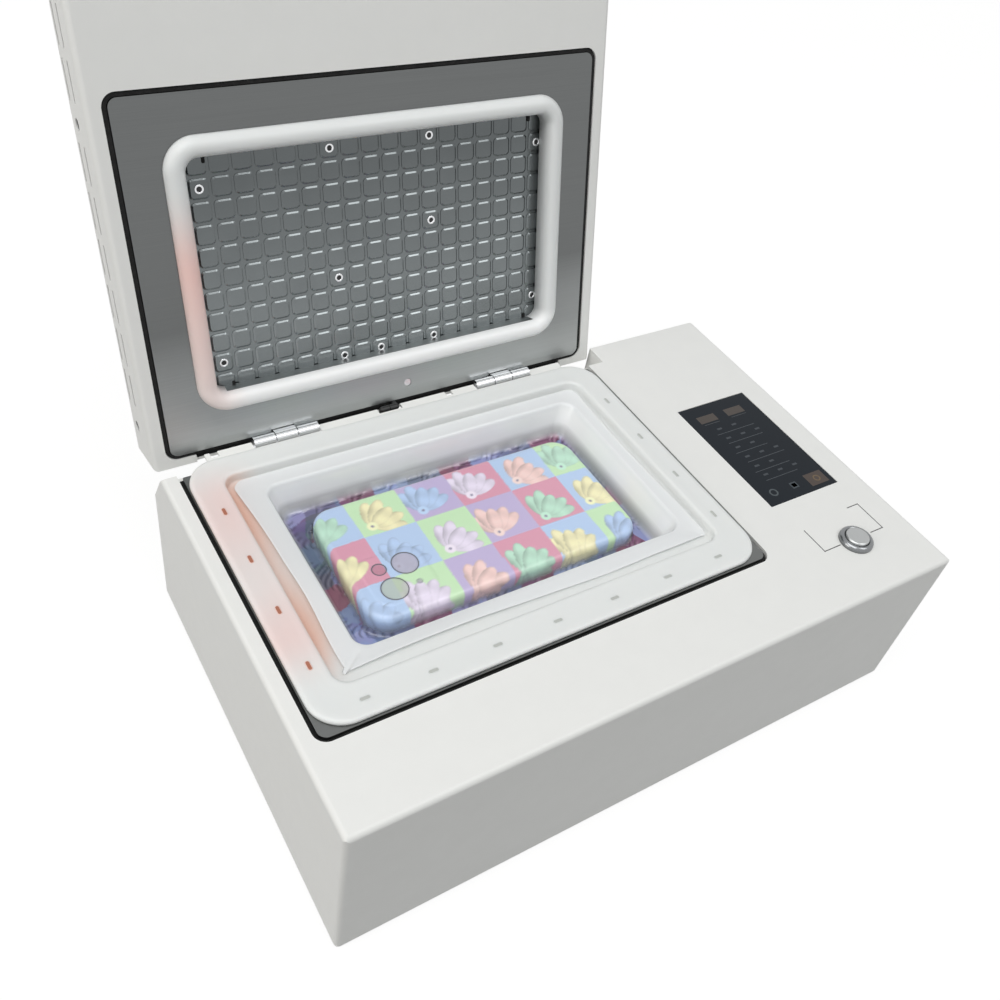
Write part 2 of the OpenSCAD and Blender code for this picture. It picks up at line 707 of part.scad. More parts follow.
module start_button_nut() color(steel) in_frame() translate([button_x, button_front, 0])
    difference() {
        translate([0, 0, top_z - sheet - 3]) cylinder(r = bezel_r + 2, h = 3, $fn = 6);
        rod([0, 0, top_z - 30], "z", bezel_r - 1.9 + run_fit, 40);
    }

function hinge_x(i) = work_x + 1.4 + (i == 0 ? -hinge_spread : hinge_spread);
hinge_l = 3 * knuckle_l + 1;
knuckle_step = knuckle_l + 0.5;
lip_x0 = 21;
lip_x1 = lid_w - lip_x0;
wire_x = work_x - 4.5;
wire_notch = 6.7;

// Painted rail over the rear ledge, which the hinges are bolted under
module hinge_rail() color(white_paint) in_frame() difference() {
    union() {
        block(lip_x0 + 3, rail_y0, top_z - rail_t, lip_x1 - 3, rail_y1, top_z);
        block(lip_x0 + 3, rail_y0, ledge_z, lip_x1 - 3, rail_y0 + rail_t, top_z - rail_t + eps);
    }
    for (i = [0, 1]) block(hinge_x(i) - hinge_l / 2 - 0.8, hinge_y - knuckle_r - 0.6, ledge_z,
        hinge_x(i) + hinge_l / 2 + 0.8, rail_y1 + 1, top_z + 1);
    // Relief notches beside the hinges and the wide wire notch between them
    for (x = [lip_x0 + 5.5, work_x + 29]) block(x, rail_y1 - 3.4, ledge_z, x + 4, rail_y1 + 1, top_z + 1);
    block(wire_x - wire_notch, hinge_y - wire_r - 0.7, ledge_z,
        wire_x + wire_notch, rail_y1 + 1, top_z + 1);
}

module base_leaf(i) color(chrome) in_frame() difference() {
    union() {
        block(hinge_x(i) - hinge_l / 2, rail_y0 + rail_t + 0.1, top_z - rail_t - leaf_t,
            hinge_x(i) + hinge_l / 2, hinge_y, top_z - rail_t);
        for (k = [-1, 1]) rod([hinge_x(i) + k * knuckle_step - knuckle_l / 2, hinge_y, hinge_z],
            "x", knuckle_r, knuckle_l);
    }
    rod([hinge_x(i) - hinge_l, hinge_y, hinge_z], "x", pin_r, 2 * hinge_l);
    rod([hinge_x(i) - knuckle_l / 2 - 0.5, hinge_y, hinge_z], "x", knuckle_r + 0.4, knuckle_l + 1);
}

module lid_leaf(i) color(chrome) on_lid() difference() {
    union() {
        rod([hinge_x(i) - knuckle_l / 2, hinge_y, hinge_z], "x", knuckle_r, knuckle_l);
        block(hinge_x(i) - knuckle_l / 2, hinge_y - knuckle_r, hinge_z,
            hinge_x(i) + knuckle_l / 2, hinge_y - knuckle_r + leaf_t, lid_foam_z + leaf_t);
        block(hinge_x(i) - knuckle_l / 2, hinge_y - 13, lid_foam_z,
            hinge_x(i) + knuckle_l / 2, hinge_y - knuckle_r + leaf_t, lid_foam_z + leaf_t);
    }
    rod([hinge_x(i) - hinge_l, hinge_y, hinge_z], "x", pin_r + run_fit, 2 * hinge_l);
}

module hinge_pin(i) color(steel) in_frame()
    rod([hinge_x(i) - hinge_l / 2, hinge_y, hinge_z], "x", pin_r, hinge_l);

wire_r = 1.7;
wire_low = floor_z + wire_r;
wire_bend_y = port_spot[1] + 30;
relay = [140, 36, 58, 44];

// Wires to the lid run along the hinge's own axis where they cross it
module base_harness() color(black) in_frame() {
    x0 = wire_x - 4;
    x1 = relay[0] + 24;
    rod([x0, hinge_y, hinge_z], "x", wire_r, 3.8);
    translate([x0, hinge_y, hinge_z]) sphere(wire_r);
    rod([x0, hinge_y, wire_low], "z", wire_r, hinge_z - wire_low);
    translate([x0, hinge_y, wire_low]) sphere(wire_r);
    rod([x0, wire_bend_y, wire_low], "y", wire_r, hinge_y - wire_bend_y);
    translate([x0, wire_bend_y, wire_low]) sphere(wire_r);
    rod([x0, wire_bend_y, wire_low], "x", wire_r, x1 - x0);
    translate([x1, wire_bend_y, wire_low]) sphere(wire_r);
    rod([x1, relay[1] + relay[3] + 0.1, wire_low], "y", wire_r, wire_bend_y - relay[1] - relay[3] - 0.1);
}

module lid_harness() color(black) on_lid() {
    rod([wire_x + 0.1, hinge_y, hinge_z], "x", wire_r, 3.9);
    translate([wire_x + 4, hinge_y, hinge_z]) sphere(wire_r);
    rod([wire_x + 4, hinge_y, hinge_z], "z", wire_r, lid_ledge_z + 6 - hinge_z);
    translate([wire_x + 4, hinge_y, lid_ledge_z + 6]) sphere(wire_r);
    rod([wire_x + 4, cover_y1, lid_ledge_z + 6], "y", wire_r, hinge_y - cover_y1);
}

module case_mould() color([0.7, 0.71, 0.73]) in_frame()
    slab(grid_top + 0.1, mould_top - grid_top - 0.1) pad2(case_x, case_y,
        case_l - 2 * case_wall - 0.6, case_w - 2 * case_wall - 0.6, case_r - case_wall);

case_x = tray_x + 0.8;
case_y = tray_y - 1.5;
film_w = step_w - 5;
film_d = step_d - 6.2;

module phone_case() color([0.75, 0.8, 0.9]) in_frame() difference() {
    slab(film_floor, case_h) pad2(case_x, case_y, case_l, case_w, case_r);
    slab(film_floor - over, case_h + over - case_wall) pad2(case_x, case_y,
        case_l - 2 * case_wall, case_w - 2 * case_wall, case_r - case_wall);
    // Lens, flash and microphone holes
    for (p = [[-46, -10, 6.4], [-57.3, -22, 6.4], [-58.9, -9, 3.4], [-44.8, -22.5, 1.2]])
        rod([case_x + p[0], case_y + p[1], case_top - 4], "z", p[2], 8);
}

// Outline of the film's floor inside its walls
module film_floor_area(grow) pad2(tray_x, tray_y, tray_w - film_foot_x - 2 * film_t + 2 * grow,
    tray_l - film_foot_y - 2 * film_t + 2 * grow, film_foot_r + grow, $fn = 24);

// Border and sloping walls of the film that is pulled down into the tray
module transfer_film() color([0.85, 0.87, 0.92]) in_frame() difference() {
    union() {
        // The border lies against the step's right and rear
        slab(film_top, film_t) translate([work_x + step_w / 2 - film_gap - film_w,
            work_y + step_d / 2 - film_gap - film_d]) soft_rect(film_w, film_d,
                film_corner_r, film_corner_r, film_corner_r, film_corner_r);
        hull() {
            slab(film_top, film_t) pad2(tray_x, tray_y,
                tray_w - film_mouth, tray_l - film_mouth, tray_in_r, $fn = 24);
            slab(film_floor, film_t) pad2(tray_x, tray_y,
                tray_w - film_foot_x, tray_l - film_foot_y, film_foot_r, $fn = 24);
        }
    }
    hull() {
        slab(film_top + film_t + eps, 1) pad2(tray_x, tray_y,
            tray_w - film_mouth - 2 * film_t, tray_l - film_mouth - 2 * film_t, tray_in_r, $fn = 24);
        slab(film_floor + film_t, 1) film_floor_area(0);
    }
    slab(film_floor - over, film_t + over + eps) film_floor_area(0);
}

// Floor of the film, which carries on over the case
module transfer_film_floor() color([0.85, 0.87, 0.92]) in_frame() difference() {
    bump = case_w + 2 * (film_air + film_t);
    union() {
        slab(film_floor, film_t) film_floor_area(-run_fit);
        slab(film_floor, case_h + film_air + film_t)
            pad2(case_x, case_y, case_l - case_w + bump, bump, case_r + film_air + film_t);
    }
    slab(film_floor - over, case_h + film_air + over)
        pad2(case_x, case_y, case_l + 2 * film_air, case_w + 2 * film_air,
            case_r + film_air);
}

// Body of the closed lid, moved inwards by i and then open above
module lid_form(i) {
    r = i > 0 ? wall_r : edge_r;
    up = i > 0 ? 2 * over : 0;
    d = lid_rear - 2 * i;
    top_r = i > 0 ? 0 : r;
    intersection() {
        slab(lid_z + i, lid_h - i + up) translate([i, i]) soft_rect(lid_w - 2 * i, d, r, r, r, r);
        across(i, lid_w - 2 * i) translate([i, lid_z + i])
            soft_rect(d, lid_h - i + up, r, 0, top_r, top_r);
        along(i, d) translate([i, lid_z + i])
            soft_rect(lid_w - 2 * i, lid_h - i + up, r, r, top_r, top_r);
    }
}

cover_t = 2.6;
cover_seam = lid_top - cover_t;
side_screw_y = [lid_rear - 17.5, lid_rear - 155.4];
side_screw_z = lid_z + 17;
vent_mid = lid_rear - 4.8;
vent_spots = [for (k = [0:7]) 32.7 + 20.4 * k + (k > 5 ? 12.2 : 0)];

module lid_recess_area(grow, rear) translate([lid_side - grow, lid_front - grow])
    soft_rect(lid_recess_x1 - lid_side + 2 * grow, rear - lid_front + grow,
        plate_r + plate_gap, plate_r + plate_gap, plate_r + plate_gap, plate_r + plate_gap);

lid_recess_y1 = lid_plate_y1 + plate_gap - 0.4;
lid_ledge_rear = 16.2;
foam_down = 0.8;

// Opening of the ledge behind the lid plate, wider at the hinge side
module lid_ledge_mouth() translate([lid_side + ledge_w, lid_front + ledge_w])
    soft_rect(lid_recess_x1 - lid_side - 2 * ledge_w,
        lid_recess_y1 - lid_ledge_rear - lid_front - ledge_w, 2, 2, 2, 2);

module lid_shell() color(white_paint) on_lid() {
    difference() {
        lid_form(0);
        lid_form(sheet);
        slab(cover_seam, 20) translate([-5, -5]) square([lid_w + 10, base_d + 10]);
        slab(lid_z - 5, 12) lid_recess_area(0, lid_recess_y1);
        block(lip_x0, lid_recess_y1 - 8, lid_z - 5, lip_x1, lid_rear + 5, lid_z + sheet + 0.6);
        for (s = [0, 1], y = side_screw_y)
            rod([s == 0 ? -over : lid_w - sheet - over, y, side_screw_z], "x", 2.6, sheet + 2);
        for (s = [0, 1], v = vent_spots, z = [12.9, 21.6])
            block(s == 0 ? -over : lid_w - sheet - over, vent_mid - v - 8, lid_z + z - 0.8,
                s == 0 ? sheet + over : lid_w + over, vent_mid - v + 8, lid_z + z + 0.8);
    }
    // Riser and ledge behind the lid plate
    difference() {
        slab(lid_z + sheet / 2, lid_ledge_z - lid_z + sheet / 2)
            lid_recess_area(sheet, lid_recess_y1 + sheet);
        slab(lid_z - over, lid_ledge_z - lid_z + over) lid_recess_area(0, lid_recess_y1);
        slab(lid_z - over, 20) lid_ledge_mouth();
        block(lip_x0, lid_plate_y1 + 0.8, lid_z - over, lip_x1, lid_rear, lid_ledge_z + 5);
        for (p = plate_screw_spots) rod([p[0], p[1], lid_z], "z", 1.3, 10);
        rod([wire_x + 4, hinge_y, lid_z], "z", wire_r + 0.4, 10);
    }
}

plate_screw_spots = [[work_x + 8.5, lid_plate_y1 - 8.6]];

module lid_cover() color(white_paint) on_lid() {
    difference() {
        intersection() {
            lid_form(0);
            slab(cover_seam, cover_t) translate([-5, -5]) square([lid_w + 10, base_d + 10]);
        }
        slab(cover_seam - over, cover_t + over - sheet)
            translate([sheet, sheet]) square([lid_w - 2 * sheet, lid_rear - 2 * sheet]);
    }
    // Tabs that the side screws go into
    for (s = [0, 1], y = side_screw_y) difference() {
        block(s == 0 ? sheet + 0.05 : lid_w - 2 * sheet - 0.05, y - 9, side_screw_z - 5,
            s == 0 ? 2 * sheet + 0.05 : lid_w - sheet - 0.05, y + 9, cover_seam + eps);
        rod([s == 0 ? -over : lid_w - 3 * sheet, y, side_screw_z], "x", 1.3, 3 * sheet + 1);
    }
}

module lid_side_screws() color(black) on_lid()
    for (s = [0, 1], y = side_screw_y) translate([s == 0 ? 0 : lid_w, y, side_screw_z])
        mirror([s, 0, 0]) {
            rod([0.5, 0, 0], "x", 2.4, sheet - 0.45);
            rod([0.5, 0, 0], "x", 1.2, 6);
        }

module lid_plate_area(gap) translate([lid_side + plate_gap + gap, lid_plate_y0 + gap])
    soft_rect(lid_recess_x1 - lid_side - 2 * (plate_gap + gap),
        lid_plate_y1 - lid_plate_y0 - 2 * gap, plate_r, plate_r, plate_r, plate_r);

module heater_mouth(grow) pad2(work_x, work_y, heater_w + 2 * grow, heater_d + 2 * grow, 5 + grow);

// Room round the lid leaves, above a height
module leaf_notches(z) for (i = [0, 1])
    block(hinge_x(i) - knuckle_l / 2 - 0.5, hinge_y - knuckle_r - 0.3, z - over,
        hinge_x(i) + knuckle_l / 2 + 0.5, lid_rear, lid_ledge_z);

module lid_plate() color(steel) on_lid() difference() {
    union() {
        slab(lid_z, plate_t) lid_plate_area(0.2);
        slab(lid_z, heater_deep) heater_mouth(1.5);
    }
    slab(lid_z - over, heater_deep + 2) heater_mouth(0);
    leaf_notches(lid_z);
    for (p = plate_screw_spots) {
        rod([p[0], p[1], lid_z - over], "z", 1.4, 10);
        rod([p[0], p[1], lid_z - over], "z", 2.1, over + 1.2);
    }
}

module lid_foam() color(black) on_lid() difference() {
    union() {
        slab(lid_z + foam_down, plate_t - foam_down + foam_t) lid_recess_area(-fit, lid_recess_y1 - fit);
        block(lip_x0 + 1, lid_plate_y1 - 8, lid_foam_z, lip_x1 - 1, lid_rear - sheet - fit,
            lid_foam_z + foam_t);
    }
    slab(lid_z, plate_t) lid_plate_area(0);
    slab(lid_foam_z - over, foam_t + 2) lid_ledge_mouth();
    for (i = [0, 1]) block(hinge_x(i) - knuckle_l / 2 - 1, hinge_y - 14, lid_z,
        hinge_x(i) + knuckle_l / 2 + 1, lid_rear, lid_foam_z + foam_t + 1);
    rod([wire_x + 4, hinge_y, lid_z], "z", wire_r + 0.4, 10);
    for (p = plate_screw_spots) rod([p[0], p[1], lid_z], "z", 1.5, 10);
}

module lid_plate_screws() color(chrome) on_lid() for (p = plate_screw_spots) {
    rod([p[0], p[1], lid_z + 0.2], "z", 1.9, 1);
    rod([p[0], p[1], lid_z + 0.2], "z", 1.2, 8);
}

seal_r = 15;
bead_r = min(seal_h - 0.6, seal_band / 2 - 0.3);

// Rounded section of the lid seal
module bead() difference() {
    translate([-seal_band / 2, 0]) square([seal_band, seal_h]);
    translate([-seal_band / 2, seal_h]) rotate(270) corner_waste(bead_r);
    translate([seal_band / 2, seal_h]) rotate(180) corner_waste(bead_r);
}

module seal_corner(x, y, a) translate([x, y, 0]) rotate(a)
    rotate_extrude(angle = 90) translate([seal_r - seal_band / 2, 0]) bead();

module lid_seal() color(silicone) on_lid() translate([work_x, work_y, lid_z]) mirror([0, 0, 1]) {
    lx = seal_w - 2 * seal_r;
    ly = seal_d - 2 * seal_r;
    for (s = [0, 1]) rotate(180 * s) {
        translate([-lx / 2, -(seal_d - seal_band) / 2, 0]) rotate([90, 0, 90])
            linear_extrude(lx) bead();
        translate([(seal_w - seal_band) / 2, ly / 2, 0]) rotate([90, 0, 0])
            linear_extrude(ly) bead();
        seal_corner(lx / 2, ly / 2, 0);
        seal_corner(-lx / 2, ly / 2, 90);
    }
}

pad_cols = 18;
pad_rows = 11;
groove_w = 1.6;
groove_deep = 0.7;
// Middle of the pad in a column from the left and a row from the hinge side
function pad_at(p) = [work_x + 2.4 + (p[0] - (pad_cols - 1) / 2) * pad_pitch,
    work_y + 1.5 - (p[1] - (pad_rows - 1) / 2) * (pad_pitch - 0.1)];
heater_screw_pads = [[0, 9], [6, 10], [11, 10], [17, 9], [11, 6], [6, 4], [0, 1], [17, 1], [6, 0],
    [8, 0], [11, 0]];

module heater_plate() color([0.6, 0.62, 0.62]) on_lid() difference() {
    slab(heater_z, heater_t) heater_mouth(heater_rim);
    // Grooves between the pads
    for (c = [0.5:pad_cols - 1]) let (x = pad_at([c, 0])[0])
        block(x - groove_w / 2, 0, heater_z - over, x + groove_w / 2, base_d, heater_z + groove_deep);
    for (r = [0.5:pad_rows - 1]) let (y = pad_at([0, r])[1])
        block(0, y - groove_w / 2, heater_z - over, base_w, y + groove_w / 2, heater_z + groove_deep);
    for (p = heater_screw_pads) let (q = pad_at(p)) {
        rod([q[0], q[1], heater_z - over], "z", 1.3, heater_t + 2);
        rod([q[0], q[1], heater_z - over], "z", 2.1, over + 1.4);
    }
}

module heater_screws() color(chrome) on_lid() for (p = heater_screw_pads) let (q = pad_at(p)) {
    rod([q[0], q[1], heater_z + 0.2], "z", 1.9, 1.2);
    rod([q[0], q[1], heater_z + 0.2], "z", 1.2, heater_t + element_t);
}

module heater_element() color([0.55, 0.45, 0.3]) on_lid() difference() {
    slab(element_z, element_t) heater_mouth(0);
    for (p = heater_screw_pads) let (q = pad_at(p)) rod([q[0], q[1], element_z - 1], "z", 1.3, 5);
}

cutout_spot = [work_x - 40, work_y + 10];

module insulation_pad() color([0.85, 0.83, 0.75]) on_lid() difference() {
    slab(insulation_z, insulation_t) heater_mouth(0);
    rod([cutout_spot[0], cutout_spot[1], insulation_z - 1], "z", 9, insulation_t + 2);
    for (p = heater_screw_pads) let (q = pad_at(p)) rod([q[0], q[1], insulation_z - 1], "z", 2, 3);
}

cover_in = heater_rim + 0.5;
cover_y1 = work_y + heater_d / 2 + cover_in + sheet + 0.3;

// Sheet cover that holds the heater against the lid plate
module heater_cover() color(steel) on_lid() difference() {
    union() {
        slab(lid_foam_z, cover_z - lid_foam_z + sheet) heater_mouth(cover_in + sheet);
        slab(lid_foam_z, sheet) heater_mouth(cover_in + sheet + 6);
    }
    slab(lid_foam_z - over, cover_z - lid_foam_z + over) heater_mouth(cover_in);
    rod([cutout_spot[0], cutout_spot[1], cover_z - 1], "z", 9, 10);
}

module thermal_cutout() color([0.8, 0.78, 0.7]) on_lid()
    rod([cutout_spot[0], cutout_spot[1], insulation_z], "z", 8, insulation_t + sheet + 0.8);

// Each node
base_shell();
bottom_pan();
rear_panel();
base_screws();
for (i = [0:3]) foot(i);
tray_plate();
tray_foam();
vacuum_tray();
tray_seal();
tray_support_grid();
suction_port();
vacuum_hose();
pump_head();
pump_motor();
pump_bracket();
release_valve();
power_supply();
solid_state_relay();
control_board();
board_standoffs();
fan_frame();
fan_rotor();
mains_inlet();
switch_bezel();
switch_rocker();
display_glass();
display_module();
display_bracket();
start_button_body();
start_button_cap();
start_button_nut();
hinge_rail();
for (i = [0, 1]) base_leaf(i);
for (i = [0, 1]) lid_leaf(i);
for (i = [0, 1]) hinge_pin(i);
base_harness();
case_mould();
phone_case();
transfer_film();
transfer_film_floor();
lid_shell();
lid_cover();
lid_side_screws();
lid_plate();
lid_foam();
lid_plate_screws();
lid_seal();
heater_plate();
heater_screws();
heater_element();
insulation_pad();
heater_cover();
thermal_cutout();
lid_harness();
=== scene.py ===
"""Looks of the tabletop vacuum sublimation press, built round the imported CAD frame.

Lengths are in millimetres from the base case's front left corner on the table, as in
part.scad, and lid pieces are placed on the closed lid. to_base() and to_lid() turn
them into the frame's metres. Colours are sRGB values from 0 to 255.
"""

import json
import math

import bpy
import numpy as np
from mathutils import Matrix, Vector


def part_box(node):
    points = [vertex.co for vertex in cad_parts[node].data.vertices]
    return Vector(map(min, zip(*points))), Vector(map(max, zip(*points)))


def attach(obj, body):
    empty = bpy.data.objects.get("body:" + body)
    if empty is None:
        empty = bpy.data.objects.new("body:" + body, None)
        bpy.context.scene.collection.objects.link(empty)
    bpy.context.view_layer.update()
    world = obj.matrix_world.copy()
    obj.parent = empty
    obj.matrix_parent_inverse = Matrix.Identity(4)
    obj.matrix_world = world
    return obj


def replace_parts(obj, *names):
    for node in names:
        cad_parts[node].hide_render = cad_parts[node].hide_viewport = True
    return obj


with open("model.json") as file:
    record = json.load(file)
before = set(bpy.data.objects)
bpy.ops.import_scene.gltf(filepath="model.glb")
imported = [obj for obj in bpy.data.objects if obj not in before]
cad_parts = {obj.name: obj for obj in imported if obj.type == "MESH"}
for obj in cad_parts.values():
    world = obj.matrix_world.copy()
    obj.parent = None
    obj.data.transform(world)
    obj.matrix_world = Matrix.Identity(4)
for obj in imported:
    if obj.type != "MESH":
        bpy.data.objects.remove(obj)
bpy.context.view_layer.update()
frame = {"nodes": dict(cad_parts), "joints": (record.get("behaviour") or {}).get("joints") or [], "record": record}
MM = 0.001

base_low, base_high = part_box("base_shell")
FOOT_H = base_low.z / MM
TOP_Z = base_high.z / MM

# The closed lid's underside lies above the hinge, and the heater's face above that
LID_RISE, HEATER_RISE = 3.2, 6
hinge = next(j for j in frame["joints"] if j["name"] == "lid_hinge")
LID_OPEN = math.radians(-hinge["range_deg"][0])
HINGE_Y = (hinge["pos_m"][1] - base_low.y) / MM
HINGE_Z = hinge["pos_m"][2] / MM
LID_Z = HINGE_Z + LID_RISE
HEATER_Z = LID_Z + HEATER_RISE


def to_base(p):
    """Points in machine millimetres as frame metres."""
    p = np.asarray(p, float).reshape(-1, 3) * MM
    return p + np.array([base_low.x, base_low.y, 0])


def to_lid(p):
    """Points on the closed lid as frame metres on the open lid."""
    p = np.asarray(p, float).reshape(-1, 3).copy()
    y, z = p[:, 1] - HINGE_Y, p[:, 2] - HINGE_Z
    c, s = math.cos(LID_OPEN), math.sin(LID_OPEN)
    p[:, 1] = HINGE_Y + y * c + z * s
    p[:, 2] = HINGE_Z - y * s + z * c
    return to_base(p)


def local_box(node):
    """A base-side CAD node's box in machine millimetres: (x0, y0, z0), (x1, y1, z1)."""
    low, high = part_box(node)
    shift = Vector((base_low.x, base_low.y, 0))
    return (low - shift) / MM, (high - shift) / MM


# ---------------------------------------------------------------- colour and materials


def linear(rgb):
    """sRGB values from 0 to 255 as linear ones from 0 to 1."""
    c = np.asarray(rgb, float) / 255
    return np.where(c <= 0.04045, c / 12.92, ((c + 0.055) / 1.055) ** 2.4)


class Shader:
    """A material under construction: a Principled shader and the nodes that feed it."""

    def __init__(self, name, rgb, rough, metal=0.0, **sockets):
        self.mat = bpy.data.materials.new(name)
        self.mat.use_nodes = True
        self.tree = self.mat.node_tree
        self.main = self.tree.nodes["Principled BSDF"]
        self.rgb = tuple(linear(rgb))
        self.main.inputs["Base Color"].default_value = (*self.rgb, 1)
        self.main.inputs["Roughness"].default_value = rough
        self.main.inputs["Metallic"].default_value = metal
        for key, value in sockets.items():
            self.main.inputs[key.replace("_", " ")].default_value = value
        self.coord = None

    def node(self, kind, **values):
        """A new node, with values for its sockets or settings."""
        n = self.tree.nodes.new(kind)
        for key, value in values.items():
            if key in n.inputs:
                n.inputs[key].default_value = value
            else:
                setattr(n, key, value)
        return n

    def link(self, a, b):
        self.tree.links.new(a, b)

    def noise(self, scale, stretch=(1, 1, 1), detail=4.0, rough=0.55):
        """Noise over object coordinates, scaled per axis."""
        if self.coord is None:
            self.coord = self.node("ShaderNodeTexCoord")
        mapping = self.node("ShaderNodeMapping", Scale=stretch)
        tex = self.node("ShaderNodeTexNoise", Scale=scale, Detail=detail, Roughness=rough)
        self.link(self.coord.outputs["Object"], mapping.inputs["Vector"])
        self.link(mapping.outputs["Vector"], tex.inputs["Vector"])
        return tex.outputs["Fac"]

    def ranged(self, value, low, high, start=0.3, end=0.7):
        """Maps a value from start..end to low..high."""
        r = self.node("ShaderNodeMapRange")
        r.inputs["From Min"].default_value = start
        r.inputs["From Max"].default_value = end
        r.inputs["To Min"].default_value = low
        r.inputs["To Max"].default_value = high
        self.link(value, r.inputs["Value"])
        return r.outputs["Result"]

    def tint(self, value, amount, start=0.3, end=0.7):
        """Darkens and lightens the base colour by amount along a value."""
        mix = self.node("ShaderNodeMix", data_type="RGBA")
        dark = [c * (1 - amount) for c in self.rgb]
        light = [min(1, c * (1 + amount)) for c in self.rgb]
        mix.inputs[6].default_value = (*dark, 1)
        mix.inputs[7].default_value = (*light, 1)
        self.link(self.ranged(value, 0, 1, start, end), mix.inputs[0])
        self.link(mix.outputs[2], self.main.inputs["Base Color"])
        return self

    def bump(self, value, strength, distance=0.0004):
        """Bumps the surface along a value, by up to distance in metres."""
        b = self.node("ShaderNodeBump", Strength=strength, Distance=distance)
        self.link(value, b.inputs["Height"])
        self.link(b.outputs["Normal"], self.main.inputs["Normal"])
        return self

    def roughen(self, value, low, high):
        """Roughness from low to high along a value."""
        self.link(self.ranged(value, low, high), self.main.inputs["Roughness"])
        return self

    def painted_light_below(self, z, span, gain):
        """Paints light: multiplies the colour by up to gain from height z + span down to z, in metres."""
        split = self.node("ShaderNodeSeparateXYZ")
        self.link(self.coord.outputs["Object"], split.inputs[0])
        scaled = self.node("ShaderNodeVectorMath", operation="SCALE")
        colour = self.main.inputs["Base Color"]
        self.link(colour.links[0].from_socket, scaled.inputs[0])
        self.link(self.ranged(split.outputs["Z"], gain, 1.0, z, z + span), scaled.inputs["Scale"])
        self.link(scaled.outputs[0], colour)
        return self

    def paint(self, layer="paint"):
        """Takes the base colour from a colour layer on the mesh."""
        a = self.node("ShaderNodeAttribute", attribute_name=layer)
        self.link(a.outputs["Color"], self.main.inputs["Base Color"])
        return self


def grain(name, rgb, rough, metal=0.0, scale=900.0, bump=0.08, tint=0.02, **sockets):
    """A material with a fine even grain, for coated, cast and moulded surfaces."""
    s = Shader(name, rgb, rough, metal, **sockets)
    s.tint(s.noise(scale * 0.06), tint).bump(s.noise(scale), bump)
    return s.roughen(s.noise(scale * 0.2), rough * 0.9, min(1, rough * 1.1))


def brushed(name, rgb, rough, stretch, tint=0.05, bump=0.05):
    """A metal with brush lines along the axis whose stretch is small."""
    s = Shader(name, rgb, rough, 1.0)
    lines = s.noise(1.0, stretch, 6.0, 0.7)
    s.tint(lines, tint).bump(lines, bump, 0.0001)
    return s.roughen(lines, rough * 0.85, rough * 1.15)


# Each finish: colour, roughness, metallic, and the scale, bump and tint of its grain
FINISHES = {
    "white_powder_coat": ((236, 236, 233), 0.42, 0.0, 1400, 0.05, 0.008),
    "heater_metal": ((97, 101, 102), 0.24, 1.0, 700, 0.05, 0.05),
    "hinge_chrome": ((226, 227, 229), 0.16, 1.0, 400, 0.02, 0.02),
    "black_foam": ((9, 9, 9), 0.95, 0.0, 1800, 0.6, 0.3),
    "black_rubber": ((17, 17, 18), 0.75, 0.0, 900, 0.2, 0.15),
    "black_plastic": ((22, 22, 24), 0.5, 0.0, 1100, 0.12, 0.1),
    "red_plastic": ((176, 24, 18), 0.25, 0.0, 500, 0.02, 0.04),
    "board_green": ((18, 92, 52), 0.4, 0.0, 500, 0.1, 0.12),
    "brass_plain": ((204, 170, 96), 0.3, 1.0, 500, 0.03, 0.05),
    "mica_board": ((168, 140, 104), 0.5, 0.0, 500, 0.1, 0.15),
    "white_wool": ((222, 218, 205), 0.95, 0.0, 1500, 0.7, 0.06),
    "ceramic": ((226, 222, 210), 0.35, 0.0, 400, 0.03, 0.02),
    "wire_black": ((14, 14, 15), 0.45, 0.0, 900, 0.05, 0.1),
    "mould_aluminium": ((205, 206, 208), 0.4, 1.0, 500, 0.1, 0.05),
}
LONG_BRUSH, COARSE_BRUSH = (14, 2600, 2600), (30, 900, 900)

M = {name: grain(name, *finish) for name, finish in FINISHES.items()}
M["display_front"] = grain("display_front", (18, 26, 34), 0.22, 0.0, 300, 0.01, 0.03,
                           Specular_IOR_Level=0.15)
M["brushed_plate"] = brushed("brushed_plate", (112, 114, 113), 0.33, LONG_BRUSH, 0.05, 0.03)
M["sheet_steel"] = brushed("sheet_steel", (196, 197, 199), 0.36, COARSE_BRUSH)

# Painted reflection: the lid's bare metal is painted brighter near its foot: start height, span and gain
LID_FOOT = HINGE_Z * MM
HEATER_PAINTED_GLEAM = (LID_FOOT + 0.02, 0.1, 1.9)
PLATE_PAINTED_GLEAM = (LID_FOOT + 0.005, 0.055, 2.9)
M["heater_metal"].painted_light_below(*HEATER_PAINTED_GLEAM)
lid_plate_metal = brushed("lid_plate_metal", (108, 110, 110), 0.33, LONG_BRUSH, 0.06, 0.03)
lid_plate_metal.painted_light_below(*PLATE_PAINTED_GLEAM)

slots = {s["node"]: s["material_slot"] for s in frame["record"]["subparts"]}
for node_name, cad in frame["nodes"].items():
    material = M.get(slots[node_name])
    if material:
        cad.data.materials.clear()
        cad.data.materials.append((lid_plate_metal if node_name == "lid_plate" else material).mat)

# ---------------------------------------------------------------- mesh helpers

SIDE_X, SIDE_Y, CORNER = 150, 90, 24
DOT = 0.01


